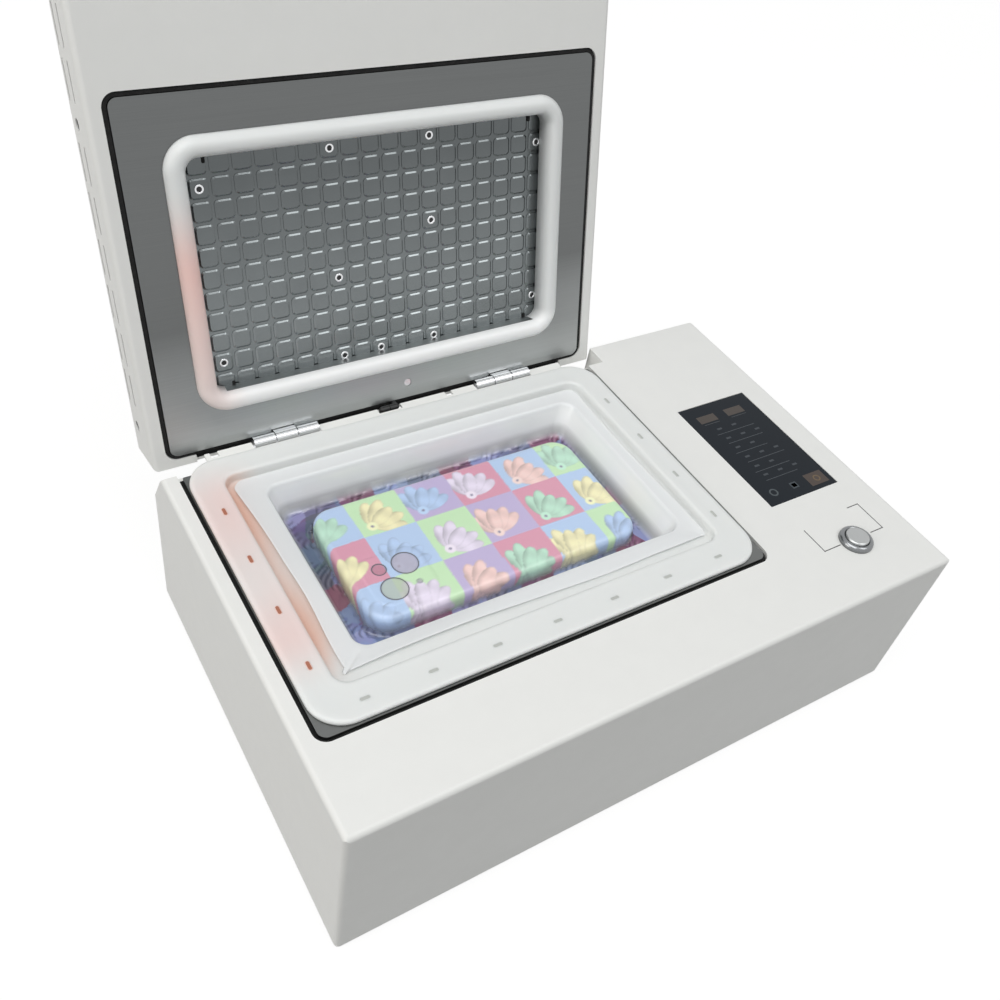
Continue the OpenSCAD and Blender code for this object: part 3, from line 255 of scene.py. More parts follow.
def rounded_loop(cx, cy, w, d, r, z, kx=SIDE_X, ky=SIDE_Y, kc=CORNER):
    """Points round a rounded rectangle, anticlockwise from its right side's rear end."""
    hw, hd = max(w / 2, DOT), max(d / 2, DOT)
    r = min(max(r, DOT / 2), hw, hd)
    centres = [(hw - r, hd - r), (r - hw, hd - r), (r - hw, r - hd), (hw - r, r - hd)]
    points = []
    for i, (x, y) in enumerate(centres):
        for a in np.linspace(0, math.pi / 2, kc) + i * math.pi / 2:
            points.append((x + r * math.cos(a), y + r * math.sin(a)))
        nx, ny = centres[(i + 1) % 4]
        k = kx if i % 2 == 0 else ky
        a = (i + 1) * math.pi / 2
        dx, dy = r * math.cos(a), r * math.sin(a)
        for t in np.linspace(0, 1, k + 2)[1:-1]:
            points.append((x + (nx - x) * t + dx, y + (ny - y) * t + dy))
    p = np.array(points) + (cx, cy)
    return np.column_stack([p, np.full(len(p), float(z))])


def add_paint(mesh, colours):
    """Gives a mesh its colour layer from one sRGB row a point."""
    layer = mesh.color_attributes.new("paint", "FLOAT_COLOR", "POINT")
    rgba = np.column_stack([linear(colours), np.ones(len(colours))])
    layer.data.foreach_set("color", rgba.astype(np.float32).ravel())


def make(name, verts, faces, body, material, slot=None, smooth=True, colours=None, place=to_base):
    """A mesh piece in the frame that rides on a body. colours is one sRGB row a point."""
    mesh = bpy.data.meshes.new(name)
    mesh.from_pydata([tuple(v) for v in place(verts)], [], faces)
    mesh.update()
    if colours is not None:
        add_paint(mesh, colours)
    if smooth:
        mesh.polygons.foreach_set("use_smooth", [True] * len(mesh.polygons))
    piece = bpy.data.objects.new(name, mesh)
    bpy.context.scene.collection.objects.link(piece)
    mesh.materials.append(material.mat)
    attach(piece, body)
    return piece


def loft(loops, closed=False, cap=False):
    """Vertices and quads between loops of equal length."""
    n = len(loops[0])
    verts = np.vstack(loops)
    faces = []
    for i in range(len(loops) if closed else len(loops) - 1):
        a, b = i * n, ((i + 1) % len(loops)) * n
        for j in range(n):
            k = (j + 1) % n
            faces.append((a + j, a + k, b + k, b + j))
    if cap:
        faces.append(tuple((len(loops) - 1) * n + j for j in range(n)))
    return verts, faces


def closed_loft(loops):
    """A loft with both ends capped, its loops running towards the closed lid's underside."""
    verts, faces = loft(loops, cap=True)
    faces.append(tuple(reversed(range(len(loops[0])))))
    return verts, [tuple(reversed(f)) for f in faces]


def lathe(profile, centre, steps=72):
    """Turns (radius, height) points about a vertical line through centre."""
    loops = []
    angles = np.linspace(0, 2 * math.pi, steps, endpoint=False)
    for r, h in profile:
        r = max(r, 0.001)
        x, y = centre[0] + r * np.cos(angles), centre[1] + r * np.sin(angles)
        loops.append(np.column_stack([x, y, np.full(steps, centre[2] + h)]))
    return loft(loops)


def joined(parts):
    """Several (vertices, faces) as one."""
    verts, faces, start = [], [], 0
    for v, f in parts:
        verts.append(np.asarray(v, float))
        faces += [tuple(i + start for i in face) for face in f]
        start += len(v)
    return np.vstack(verts), faces


def flat_box(x0, y0, x1, y1, z):
    """A flat rectangle as (vertices, faces)."""
    return np.array([(x0, y0, z), (x1, y0, z), (x1, y1, z), (x0, y1, z)], float), [(0, 1, 2, 3)]


def pushed_out(row, centre, push):
    """Moves a loop's points outwards from centre, in plan, each by its own push."""
    out = row[:, :2] - centre
    row[:, :2] += out / np.linalg.norm(out, axis=1)[:, None] * push[:, None]


def smooth_noise(p, size, seed=0):
    """Cheap smooth noise of points, about -1 to 1, with features of the given size."""
    q = np.asarray(p, float) / size
    total = 0
    for k in range(4):
        a = seed * 1.7 + k * 2.3
        total = total + np.sin(q[:, 0] * (1 + 0.37 * k) + q[:, 1] * (0.6 - 0.21 * k) + a)
        total = total + np.sin(q[:, 1] * (1.1 + 0.29 * k) - q[:, 0] * (0.43 + 0.17 * k) + 2 * a)
    return total / 8


def step(x, a, b):
    """0 at a, 1 at b, and a smooth curve between."""
    t = np.clip((x - a) / (b - a), 0, 1)
    return t * t * (3 - 2 * t)


def mixed(a, b, t):
    """Blends a to b, each one colour or one row a point, by t."""
    t = np.asarray(t)[:, None]
    return np.asarray(a) * (1 - t) + np.asarray(b) * t


# ---------------------------------------------------------------- prints

GROUNDS = np.array([(190, 214, 246), (207, 240, 196), (200, 186, 224), (226, 160, 182)], float)
MOTIFS = np.array([(255, 220, 214), (192, 216, 250), (198, 236, 214), (242, 232, 250),
                   (253, 246, 200)], float)
CELL, CELL_SHIFT = 27.5, (9, 6)

# Each fan springs from a bud near its square's corner; squares run from -1 to 1
BUD_U, BUD_V, BUD_TONE = 0.5, 0.62, (132, 126, 152)
PETAL_ORDER, PETAL_TURN = (0, 4, 1, 3, 2), 0.42
PETAL_LENGTH, PETAL_WIDTH = 1.2, 0.27


def patchwork(x, y):
    """Generic pastel print: squares, each with a fan of soft petals."""
    across, up = (x + CELL_SHIFT[0]) / CELL, (y + CELL_SHIFT[1]) / CELL
    ix, iy = np.floor(across), np.floor(up)
    u, v = (across - ix) * 2 - 1 + BUD_U, (up - iy) * 2 - 1 + BUD_V
    ground = ((ix + 2 * iy + (iy % 2)) % len(GROUNDS)).astype(int)
    motif = ((2 * ix + 3 * iy + 1) % len(MOTIFS)).astype(int)
    col, ink = GROUNDS[ground].copy(), MOTIFS[motif]
    turn = 0.1 + 0.4 * np.sin(ix * 2.1 + iy * 1.3)
    for k in PETAL_ORDER:
        a = turn + k * PETAL_TURN
        along = u * np.cos(a) + v * np.sin(a)
        side = -u * np.sin(a) + v * np.cos(a)
        reach = PETAL_LENGTH + 0.09 * np.sin(k * 2.6)
        shape = 1 - ((along - reach * 0.54) / (reach * 0.5)) ** 2 - (side / PETAL_WIDTH) ** 2
        inside = step(shape, -0.04, 0.08)
        shade = 0.985 - 0.13 * step(side, 0.02, 0.24) + 0.03 * np.cos(along * 9 + k)
        col = mixed(col, np.clip(ink * shade[:, None], 0, 255), inside)
        rim = inside * (1 - step(shape, 0.02, 0.3))
        col = mixed(col, col * 0.93, rim)
    bud = np.hypot(u, v)
    col = mixed(col, np.clip(ink * 1.04, 0, 255), 1 - step(bud, 0.17, 0.23))
    return mixed(col, BUD_TONE, 0.8 * (1 - step(bud, 0.04, 0.075)))


FLOOR_TONES = np.array([(92, 102, 136), (74, 88, 104), (112, 58, 88), (94, 114, 164),
                        (132, 142, 188), (96, 84, 128)], float)
FLOOR_CELL = (19, 14)


def floor_print(x, y):
    """The print stretched over the tray's floor: darker, with hatched leaves."""
    sx, sy = x + 2.5 * np.sin(y * 0.21), y + 2.5 * np.sin(x * 0.17)
    cell = np.floor(sx / FLOOR_CELL[0]) * 2 + np.floor(sy / FLOOR_CELL[1]) * 5
    tone = FLOOR_TONES[(cell % len(FLOOR_TONES)).astype(int)]
    col = tone * 0.85 + patchwork(x * 0.8 + 40, y * 0.8 + 25) * 0.17
    leaf = np.cos((sx * 0.75 + sy * 0.5) * 0.42 + 0.8 * np.sin(sy * 0.13))
    vein = np.sin((sx - sy) * 1.25 + 3.5 * leaf)
    dark = step(vein, 0.2, 0.9) * step(leaf, 0.0, 0.5)
    col = col * (1 - 0.25 * dark)[:, None]
    light = step(-vein, 0.3, 0.9) * step(leaf, 0.3, 0.9)
    col = mixed(col, col * 0.6 + 90, 0.45 * light)
    return np.clip(col, 0, 255)


# ---------------------------------------------------------------- silicone seals

silicone = Shader("white_silicone", (238, 240, 237), 0.38, Subsurface_Weight=0.28,
                  Subsurface_Scale=0.004)
silicone.main.inputs["Subsurface Radius"].default_value = (1.0, 0.95, 0.9)
silicone.paint().bump(silicone.noise(260), 0.06)
silicone.roughen(silicone.noise(40), 0.32, 0.46)

# The pink and the peach are painted reflection of a coloured light on the seals' left side
WHITE, PINK_REFLECTION, PEACH_REFLECTION = (233, 235, 233), (241, 208, 203), (233, 180, 156)

# The work area's centre, the tray's centre, and the sizes of the tray seal's outlines
seal_low, seal_high = local_box("tray_seal")
FLANGE_W, FLANGE_D, FLANGE_R = seal_high.x - seal_low.x, seal_high.y - seal_low.y, 16.0
FLANGE_X, FLANGE_Y = (seal_low.x + seal_high.x) / 2, (seal_low.y + seal_high.y) / 2
FLANGE_Z, SEAL_BOTTOM = seal_high.z, seal_low.z
WORK_X, WORK_Y = 127.5, 125.3
STEP_W, STEP_D, STEP_R = 204.0, 129.0, 7
TRAY_X, TRAY_Y = WORK_X + 3.2, WORK_Y + 3.0
HOLE_W, HOLE_D, HOLE_R = 180, 106, 8


def flange_lift(p):
    """The soft flange's top waves a little, in millimetres."""
    return 0.16 * smooth_noise(p, 21, 1) + 0.07 * smooth_noise(p, 6, 2) - 0.12


def build_tray_seal():
    """The flange with its rounded lip, the step inside it and the wall down to the tray."""
    top, low = FLANGE_Z, SEAL_BOTTOM

    def edge(inset, z):
        return rounded_loop(FLANGE_X, FLANGE_Y, FLANGE_W - 2 * inset, FLANGE_D - 2 * inset,
                            FLANGE_R - inset, z)

    def wall(grow, z):
        return rounded_loop(WORK_X, WORK_Y, STEP_W + 2 * grow, STEP_D + 2 * grow,
                            STEP_R + grow, z)

    def hole(grow, z):
        return rounded_loop(TRAY_X, TRAY_Y, HOLE_W + 2 * grow, HOLE_D + 2 * grow,
                            HOLE_R + grow, z)

    loops = [edge(0.1, TOP_Z + 0.05), edge(0, TOP_Z + 0.9), edge(0.35, top - 0.55),
             edge(1.1, top - 0.12), edge(2.2, top), edge(3.4, top - 0.03), edge(4.6, top - 0.1),
             wall(7.0, top - 0.1), wall(5.0, top - 0.1), wall(3.4, top - 0.08), wall(2.6, top),
             wall(1.6, top), wall(0.7, top - 0.15), wall(0.15, top - 0.8), wall(0, top - 1.6),
             wall(0, low + 3.0), wall(-0.2, low + 2.0), wall(-0.9, low + 1.55),
             wall(-2.5, low + 1.5), hole(1.2, low + 1.5), hole(0.3, low + 1.35),
             hole(0, low + 0.8), hole(0.1, low), wall(1.5, low), wall(1.5, TOP_Z + 0.02)]
    verts, faces = loft(loops, closed=True)
    verts[:, 2] += flange_lift(verts) * step(verts[:, 2], TOP_Z + 1.2, FLANGE_Z)

    # Painted reflection of a coloured light: the left side is painted pink, and peach down the step's wall
    side = 1 - step(verts[:, 0], 18, 46)
    reach = step(verts[:, 1], 60, 92) * (1 - step(verts[:, 1], 176, 206))
    reflection_spread = 0.6 + 0.4 * smooth_noise(verts, 19, 3)
    pink_reflection = np.clip(side * reach * reflection_spread * 0.95, 0, 1)
    below = 1 - step(verts[:, 2], FLANGE_Z - 1.0, FLANGE_Z - 0.2)
    inner = pink_reflection * step(verts[:, 0], 20, 25) * below
    col = mixed(mixed(WHITE, PINK_REFLECTION, pink_reflection), PEACH_REFLECTION, np.clip(inner * 1.3, 0, 1))
    return make("tray_seal_silicone", verts, faces, "base", silicone, "white_silicone",
                colours=col)


tray_seal = build_tray_seal()
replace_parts(tray_seal, "tray_seal")

SLIT_LONG, SLIT_WIDE, SLIT_PITCH = 4.2, 1.3, 31.2
SLIT_X, SLIT_Y = STEP_W / 2 + 6.8, STEP_D / 2 + 10
# The darker deep tones are painted shade in the slits' hollows; the pink tones on the left are painted reflection
# too
SLIT_LIP, SLIT_SHADE = (226, 229, 227), (190, 192, 187)
PINK_REFLECTION_LIP, PINK_REFLECTION_SHADE = (236, 200, 190), (178, 112, 88)
slit_spots = [(WORK_X + s * SLIT_X, WORK_Y - 4 + k * SLIT_PITCH, False)
              for s in (-1, 1) for k in (-1.5, -0.5, 0.5, 1.5)]
slit_spots += [(WORK_X - 1.6 + k * SLIT_PITCH, WORK_Y - SLIT_Y, True) for k in range(-3, 4)]


def build_slits():
    """The breathing slits in the flange, each a shallow capsule with a soft lip; the hollow's darker tone is
    painted shade, and the left ones' pink is painted reflection.
    """
    parts, colours = [], []
    for x, y, along_x in slit_spots:
        w, d = (SLIT_LONG, SLIT_WIDE) if along_x else (SLIT_WIDE, SLIT_LONG)
        pink_reflected = x < WORK_X - 90 and not along_x
        lip, slit_shade = (PINK_REFLECTION_LIP, PINK_REFLECTION_SHADE) if pink_reflected else (SLIT_LIP, SLIT_SHADE)
        rings = [(0.9, -0.2, lip), (0.8, 0.03, lip), (0.35, 0.09, lip), (0.05, 0.04, slit_shade),
                 (-0.5, 0.03, slit_shade)]
        loops = [rounded_loop(x, y, w + g, d + g, 0.64 + g / 2, FLANGE_Z + z, 2, 2, 6)
                 for g, z, tone in rings]
        v, f = loft(loops, cap=True)
        v[:, 2] += flange_lift(v)
        parts.append((v, f))
        for g, z, tone in rings:
            colours += [tone] * len(loops[0])
    return make("tray_seal_slits", *joined(parts), "base", silicone, "white_silicone",
                colours=np.array(colours, float))


build_slits()

SEAL_W, SEAL_D, SEAL_R = 202.4, 127.0, 15
# The low tone is painted light on the seal's rear part, lowest on the open lid, and the pink is painted reflection
SEAL_TONE, SEAL_PAINTED_LIGHT_TONE, SEAL_PINK_REFLECTION = (229, 231, 230), (252, 253, 252), (245, 206, 198)
HEATER_GAP = LID_Z - HEATER_Z + 0.1

# The lid seal's section: inset from its outline, and height over the lid's underside
SEAL_PROFILE = [(0, 0.02), (0.12, 0.9), (0.6, 2.1), (1.6, 3.4), (3.0, 4.35), (4.7, 4.8),
                (6.4, 4.66), (7.8, 4.1), (8.7, 3.0), (9.06, 1.6), (9.4, 0.02),
                (9.5, HEATER_GAP), (9.3, HEATER_GAP), (9.2, 0.02)]


def build_lid_seal():
    """The rounded seal on the lid, with a skirt down to the heater plate."""
    loops = [rounded_loop(WORK_X, WORK_Y, SEAL_W - 2 * i, SEAL_D - 2 * i, SEAL_R - i, LID_Z - h)
             for i, h in SEAL_PROFILE]
    verts, faces = loft(loops, closed=True)
    verts[:, 2] += 0.1 * smooth_noise(verts, 15, 5) * step(LID_Z - verts[:, 2], 1, 4)
    # Painted reflection: the left side is painted pink
    left = 1 - step(verts[:, 0], 33, 52)
    reach = step(verts[:, 1], 80, 122) * (1 - 0.6 * step(verts[:, 1], 132, 186))
    pink_reflection = np.clip((left * reach) * (0.85 + 0.25 * smooth_noise(verts, 17, 6)), 0, 1)
    # Painted light: the rear part is painted lighter
    low = step(verts[:, 1], 172, 180)
    col = mixed(mixed(SEAL_TONE, SEAL_PAINTED_LIGHT_TONE, low), SEAL_PINK_REFLECTION, pink_reflection)
    return make("lid_seal_silicone", verts, faces, "lid", silicone, "white_silicone",
                colours=col, place=to_lid)


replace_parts(build_lid_seal(), "lid_seal")

# ---------------------------------------------------------------- heater pads and screws

PAD_PITCH, PAD_PITCH_Y, COLS, ROWS = 10.3, 10.2, 18, 11
GROOVE_W, GROOVE_DEEP, PAD_R = 1.3, 0.7, 1.9
BEVEL_W, BEVEL_H = 0.75, 0.43
PLATE_W, PLATE_D, PLATE_R, PLATE_T, PLATE_EDGE = 190.0, 114.0, 8.0, 6.0, 0.4
PADS_X, PADS_Y = WORK_X + 2.4, WORK_Y + 1.5

# Columns count from the left, rows from the hinge side
SCREW_PADS = [(0, 9), (6, 10), (11, 10), (17, 9), (11, 6), (6, 4), (0, 1), (17, 1), (6, 0),
              (8, 0), (11, 0)]
SLOT_PADS = [(0, 10), (17, 10), (0, 0), (17, 0)]
SLOT_W, SLOT_L, SLOT_R = 1.6, 5.2, 0.6


def pad_spot(c, r):
    """The centre of the pad in column c and row r."""
    return PADS_X + (c - (COLS - 1) / 2) * PAD_PITCH, PADS_Y - (r - (ROWS - 1) / 2) * PAD_PITCH_Y


def build_heater():
    """The cast heater plate with its bevelled pads."""
    floor_z = HEATER_Z + GROOVE_DEEP
    rim = [(PLATE_EDGE, PLATE_T), (0, PLATE_T - PLATE_EDGE), (0, GROOVE_DEEP + PLATE_EDGE),
           (PLATE_EDGE, GROOVE_DEEP)]
    parts = [closed_loft([rounded_loop(WORK_X, WORK_Y, PLATE_W - 2 * i, PLATE_D - 2 * i,
                                       PLATE_R - i, HEATER_Z + z) for i, z in rim])]
    w, d = PAD_PITCH - GROOVE_W, PAD_PITCH_Y - GROOVE_W
    side = [(0, floor_z + 0.2), (0, HEATER_Z + BEVEL_H), (BEVEL_W, HEATER_Z)]
    for c in range(COLS):
        for r in range(ROWS):
            x, y = pad_spot(c, r)
            parts.append(closed_loft([rounded_loop(x, y, w - 2 * i, d - 2 * i, PAD_R - i * 0.6,
                                                   z, 2, 2, 6) for i, z in side]))
    return joined(parts)


def turned(profile):
    """The same small turned piece on each screwed pad, rising from its face."""
    rising = [(r, -up) for r, up in profile]
    return joined([lathe(rising, (*pad_spot(c, r), HEATER_Z), 28) for c, r in SCREW_PADS])


def build_slot_shade():
    """Black patches painting the shade in the narrow slots near the heater plate's corners."""
    parts = []
    for c, r in SLOT_PADS:
        x, y = pad_spot(c, r)
        x += 3.4 if c == 0 else -5.0
        y += 2.4 if r == 0 else -3.0
        rings = ((0, 0.4), (0, -0.02), (0.3, -0.05))
        parts.append(closed_loft([rounded_loop(x, y, SLOT_W - i, SLOT_L - i, SLOT_R,
                                               HEATER_Z + z, 2, 2, 4) for i, z in rings]))
    return joined(parts)


HEAD_PROFILE = [(2.1, -0.1), (2.1, 0.12), (1.95, 0.22), (1.4, 0.26), (1.2, 0.18), (1.15, -0.1)]
# The black disc in each head is painted shade in its socket
SOCKET_SHADE_PROFILE = [(1.2, -0.1), (1.17, 0.07), (0.6, 0.04), (0.01, 0.02)]

heater = make("heater_plate_pads", *build_heater(), "lid", M["heater_metal"], "heater_metal",
              place=to_lid, smooth=False)
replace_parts(heater, "heater_plate")
heater_heads = make("heater_screw_heads", *turned(HEAD_PROFILE), "lid", M["hinge_chrome"],
                    "hinge_chrome", place=to_lid)
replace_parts(heater_heads, "heater_screws")
# Painted shade: black discs in the screw heads' sockets
make("heater_screw_socket_shade", *turned(SOCKET_SHADE_PROFILE), "lid", M["black_plastic"],
     "black_plastic", place=to_lid)
# Painted shade: black patches where the slots' hollows are dark
make("heater_slot_shade", *build_slot_shade(), "lid", M["black_foam"], "black_foam", place=to_lid,
     smooth=False)

# ---------------------------------------------------------------- phone case

case_low, case_high = local_box("phone_case")
CASE_X, CASE_Y = (case_low.x + case_high.x) / 2, (case_low.y + case_high.y) / 2
CASE_W, CASE_D = case_high.x - case_low.x, case_high.y - case_low.y
CASE_TOP, CASE_BOTTOM = case_high.z - 0.35, case_low.z
CASE_R, CASE_EDGE = 11.0, 3.4

# The raised square: centre from the case's, size and corner. The lenses: centre and radius
ISLAND, ISLAND_UP, LENS_DOWN = (-52.0, -15.5, 33.0, 31.0, 8.0), 0.45, 0.35
LENSES = [(-46, -10, 6.4), (-57.3, -22, 6.4), (-58.9, -9, 3.4), (-44.8, -22.5, 1.2)]
LENS_TONES = [(186, 176, 192), (186, 196, 180), (190, 130, 150), (186, 176, 192)]
LENS_RIM_TONE = (96, 92, 112)


def island_height(x, y):
    """Height of the raised square round the lenses, in millimetres."""
    ix, iy, w, d, r = ISLAND
    qx = np.abs(x - CASE_X - ix) - w / 2 + r
    qy = np.abs(y - CASE_Y - iy) - d / 2 + r
    gap = np.hypot(np.maximum(qx, 0), np.maximum(qy, 0)) + np.minimum(np.maximum(qx, qy), 0) - r
    height = ISLAND_UP * (1 - step(gap, -1.4, 0))
    for lx, ly, lr in LENSES:
        away = np.hypot(x - CASE_X - lx, y - CASE_Y - ly)
        height -= LENS_DOWN * (1 - step(away, lr - 0.5, lr + 0.2))
    return height


def case_loop(grow, z):
    """The case's outline, grown by grow."""
    return rounded_loop(CASE_X, CASE_Y, CASE_W + 2 * grow, CASE_D + 2 * grow, CASE_R + grow, z)


def case_spine(z):
    """The line along the middle of the case's back, where its loops end."""
    return rounded_loop(CASE_X, CASE_Y, CASE_W - CASE_D + DOT, DOT, DOT / 2, z)


def build_case():
    """The case's sides, rounded edge and back."""
    bottom, top, edge = CASE_BOTTOM + 0.05, CASE_TOP, CASE_EDGE
    loops = [case_loop(0, z) for z in np.linspace(bottom, top - edge, 6)]
    for a in np.linspace(0, math.pi / 2, 9)[1:]:
        loops.append(case_loop(-edge * (1 - math.cos(a)), top - edge + edge * math.sin(a)))
    for i in np.arange(0.5, CASE_D / 2 - edge - 0.05, 0.5):
        loops.append(case_loop(-(edge + i), top))
    loops.append(case_spine(top))
    verts, faces = loft(loops)
    flat = verts[:, 2] > top - 0.4
    verts[flat, 2] += island_height(verts[flat, 0], verts[flat, 1])
    return verts, faces


def case_colours(v):
    """The print over the case, and the lenses in it."""
    x, y = v[:, 0] - CASE_X + CASE_W / 2, v[:, 1] - CASE_Y + CASE_D / 2
    drop = np.clip(CASE_TOP - v[:, 2], 0, 12)
    col = patchwork(x, y + drop * 0.9)
    for (lx, ly, lr), glass in zip(LENSES, LENS_TONES):
        away = np.hypot(v[:, 0] - CASE_X - lx, v[:, 1] - CASE_Y - ly)
        col = mixed(col, glass, 0.75 * (1 - step(away, lr - 0.6, lr)))
        ring = 0.5 * step(away, lr - 0.7, lr) * (1 - step(away, lr, lr + 0.6))
        col = mixed(col, LENS_RIM_TONE, ring)
    return col


printed = Shader("printed_case", (210, 215, 220), 0.33, Coat_Weight=0.15, Coat_Roughness=0.1)
printed.paint().bump(printed.noise(500), 0.03)
case_verts, case_faces = build_case()
phone_case = make("phone_case_printed", case_verts, case_faces, "case", printed, "printed_case",
                  colours=case_colours(case_verts))
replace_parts(phone_case, "phone_case")

# A rim's section: out from the lens's radius, and up
RIM_PROFILE = [(0.2, -0.1), (0.17, 0.1), (0, 0.16), (-0.17, 0.1), (-0.2, -0.1)]
rim_finish = grain("lens_rim", (92, 92, 98), 0.4, scale=500, bump=0.02)
lens_rims = joined([lathe([(r + out, up) for out, up in RIM_PROFILE],
                          (CASE_X + x, CASE_Y + y, CASE_TOP + 0.42), 56)
                    for x, y, r in LENSES[:3]])
make("case_lens_rims", *lens_rims, "case", rim_finish, "black_plastic")

# ---------------------------------------------------------------- transfer film

film_low, film_high = local_box("transfer_film")
FILM_X0, FILM_X1, FILM_Y0, FILM_Y1 = film_low.x, film_high.x, film_low.y, film_high.y
FILM_X, FILM_Y = (FILM_X0 + FILM_X1) / 2, (FILM_Y0 + FILM_Y1) / 2
FILM_W, FILM_D, FILM_R = FILM_X1 - FILM_X0, FILM_Y1 - FILM_Y0, 6.0
RIM_Z, FLOOR_Z = film_high.z, film_low.z + 0.35
MOUTH_W, MOUTH_D, MOUTH_R = 177.0, 103.0, 7.0
FOOT_W, FOOT_D, FOOT_R = 166.0, 94.0, 6.2
BORDER_TONE, WALL_TONE = (243, 245, 246), (252, 253, 253)

film_shader = Shader("clear_film", (238, 240, 240), 0.14, Specular_IOR_Level=0.6)
film_shader.paint()
solidity = film_shader.node("ShaderNodeAttribute", attribute_name="solid")
film_shader.link(solidity.outputs["Fac"], film_shader.main.inputs["Alpha"])
film_shader.bump(film_shader.noise(120, detail=3.0), 0.08, 0.0006)


def wavy_edge(loop):
    """The film's cut edge wanders a little, and lifts and dips where it isn't held."""
    out = loop.copy()
    x, y = loop[:, 0], loop[:, 1]
    left = 1 - step(x, FILM_X0, FILM_X0 + 1.5)
    front = 1 - step(y, FILM_Y0, FILM_Y0 + 1.5)
    right = step(x, FILM_X1 - 1.5, FILM_X1)
    drift = smooth_noise(loop, 16, 4)
    out[:, 0] += left * (3.4 * step(188 - y, 0, 50) + 1.1 * drift)
    out[:, 1] += front * (2.0 + 1.1 * np.sin((x - 40) * 0.034) + 0.8 * drift)
    out[:, 0] -= right * (1.2 + 0.8 * np.sin(y * 0.05 + 1) + 0.4 * drift)
    lift = front * (0.7 + 0.5 * np.sin((x - 40) * 0.034 + 0.8)) + left * (0.35 + 0.3 * drift)
    out[:, 2] += lift * step(FILM_X1 - x, 0, 12) * step(FILM_Y1 - y, 0, 12)
    return out


def film_edge(inset, z):
    """The film's cut edge."""
    return wavy_edge(rounded_loop(FILM_X, FILM_Y, FILM_W - inset, FILM_D - inset, FILM_R, z))


def film_mouth(grow, z):
    """Where the film turns down into the tray."""
    return rounded_loop(TRAY_X, TRAY_Y, MOUTH_W + 2 * grow, MOUTH_D + 2 * grow,
                        MOUTH_R + grow, z)


def film_foot(inset, z):
    """Where the film's walls meet the tray's floor, with folds drawn in at the rear."""
    row = rounded_loop(TRAY_X, TRAY_Y, FOOT_W - 2 * inset, FOOT_D - 2 * inset,
                       FOOT_R - inset * 0.3, FLOOR_Z + z)
    back = step(row[:, 1], TRAY_Y + FOOT_D / 2 - 4, TRAY_Y + FOOT_D / 2 - 2)
    fold = np.sin(row[:, 0] * 0.31 + 2.6 * np.sin(row[:, 0] * 0.07))
    fold = fold + 0.5 * smooth_noise(row, 3, 9)
    row[:, 1] -= back * (0.3 + 0.35 * fold)
    row[:, 2] += back * (0.3 + 0.25 * fold)
    return row


def film_skirt(grow, z):
    """The film where it climbs the case's sides, in small pleats."""
    row = case_loop(grow, FLOOR_Z + z)
    rear = step(row[:, 1], CASE_Y + CASE_D / 2 - 3, CASE_Y + CASE_D / 2)
    other = 1 - rear
    pleat = np.sin(row[:, 0] * 0.9 + 1.5 * np.sin(row[:, 0] * 0.11)) ** 8 * rear * 1.7
    pleat += np.sin((row[:, 0] + row[:, 1]) * 0.5) ** 12 * other * 0.8
    push = pleat * (1 - z / 7)
    out = row[:, :2] - np.array([CASE_X, CASE_Y])
    row[:, 1] += push * rear
    row[:, :2] += out / np.linalg.norm(out, axis=1)[:, None] * (push * other)[:, None]
    return row


# Rows of inset or growth, height over the floor, alpha and share of print
FOOT_ROWS = ((0.3, 1.6, 0.6, 0.25), (1.0, 0.7, 0.85, 0.6), (2.2, 0.15, 1.0, 1.0))
SKIRT_ROWS = ((1.7, 0.5, 0.95, 1.0), (1.1, 1.3, 0.75, 0.9), (0.7, 2.6, 0.42, 0.6),
              (0.5, 4.2, 0.2, 0.3), (0.4, 6.0, 0.12, 0.1))


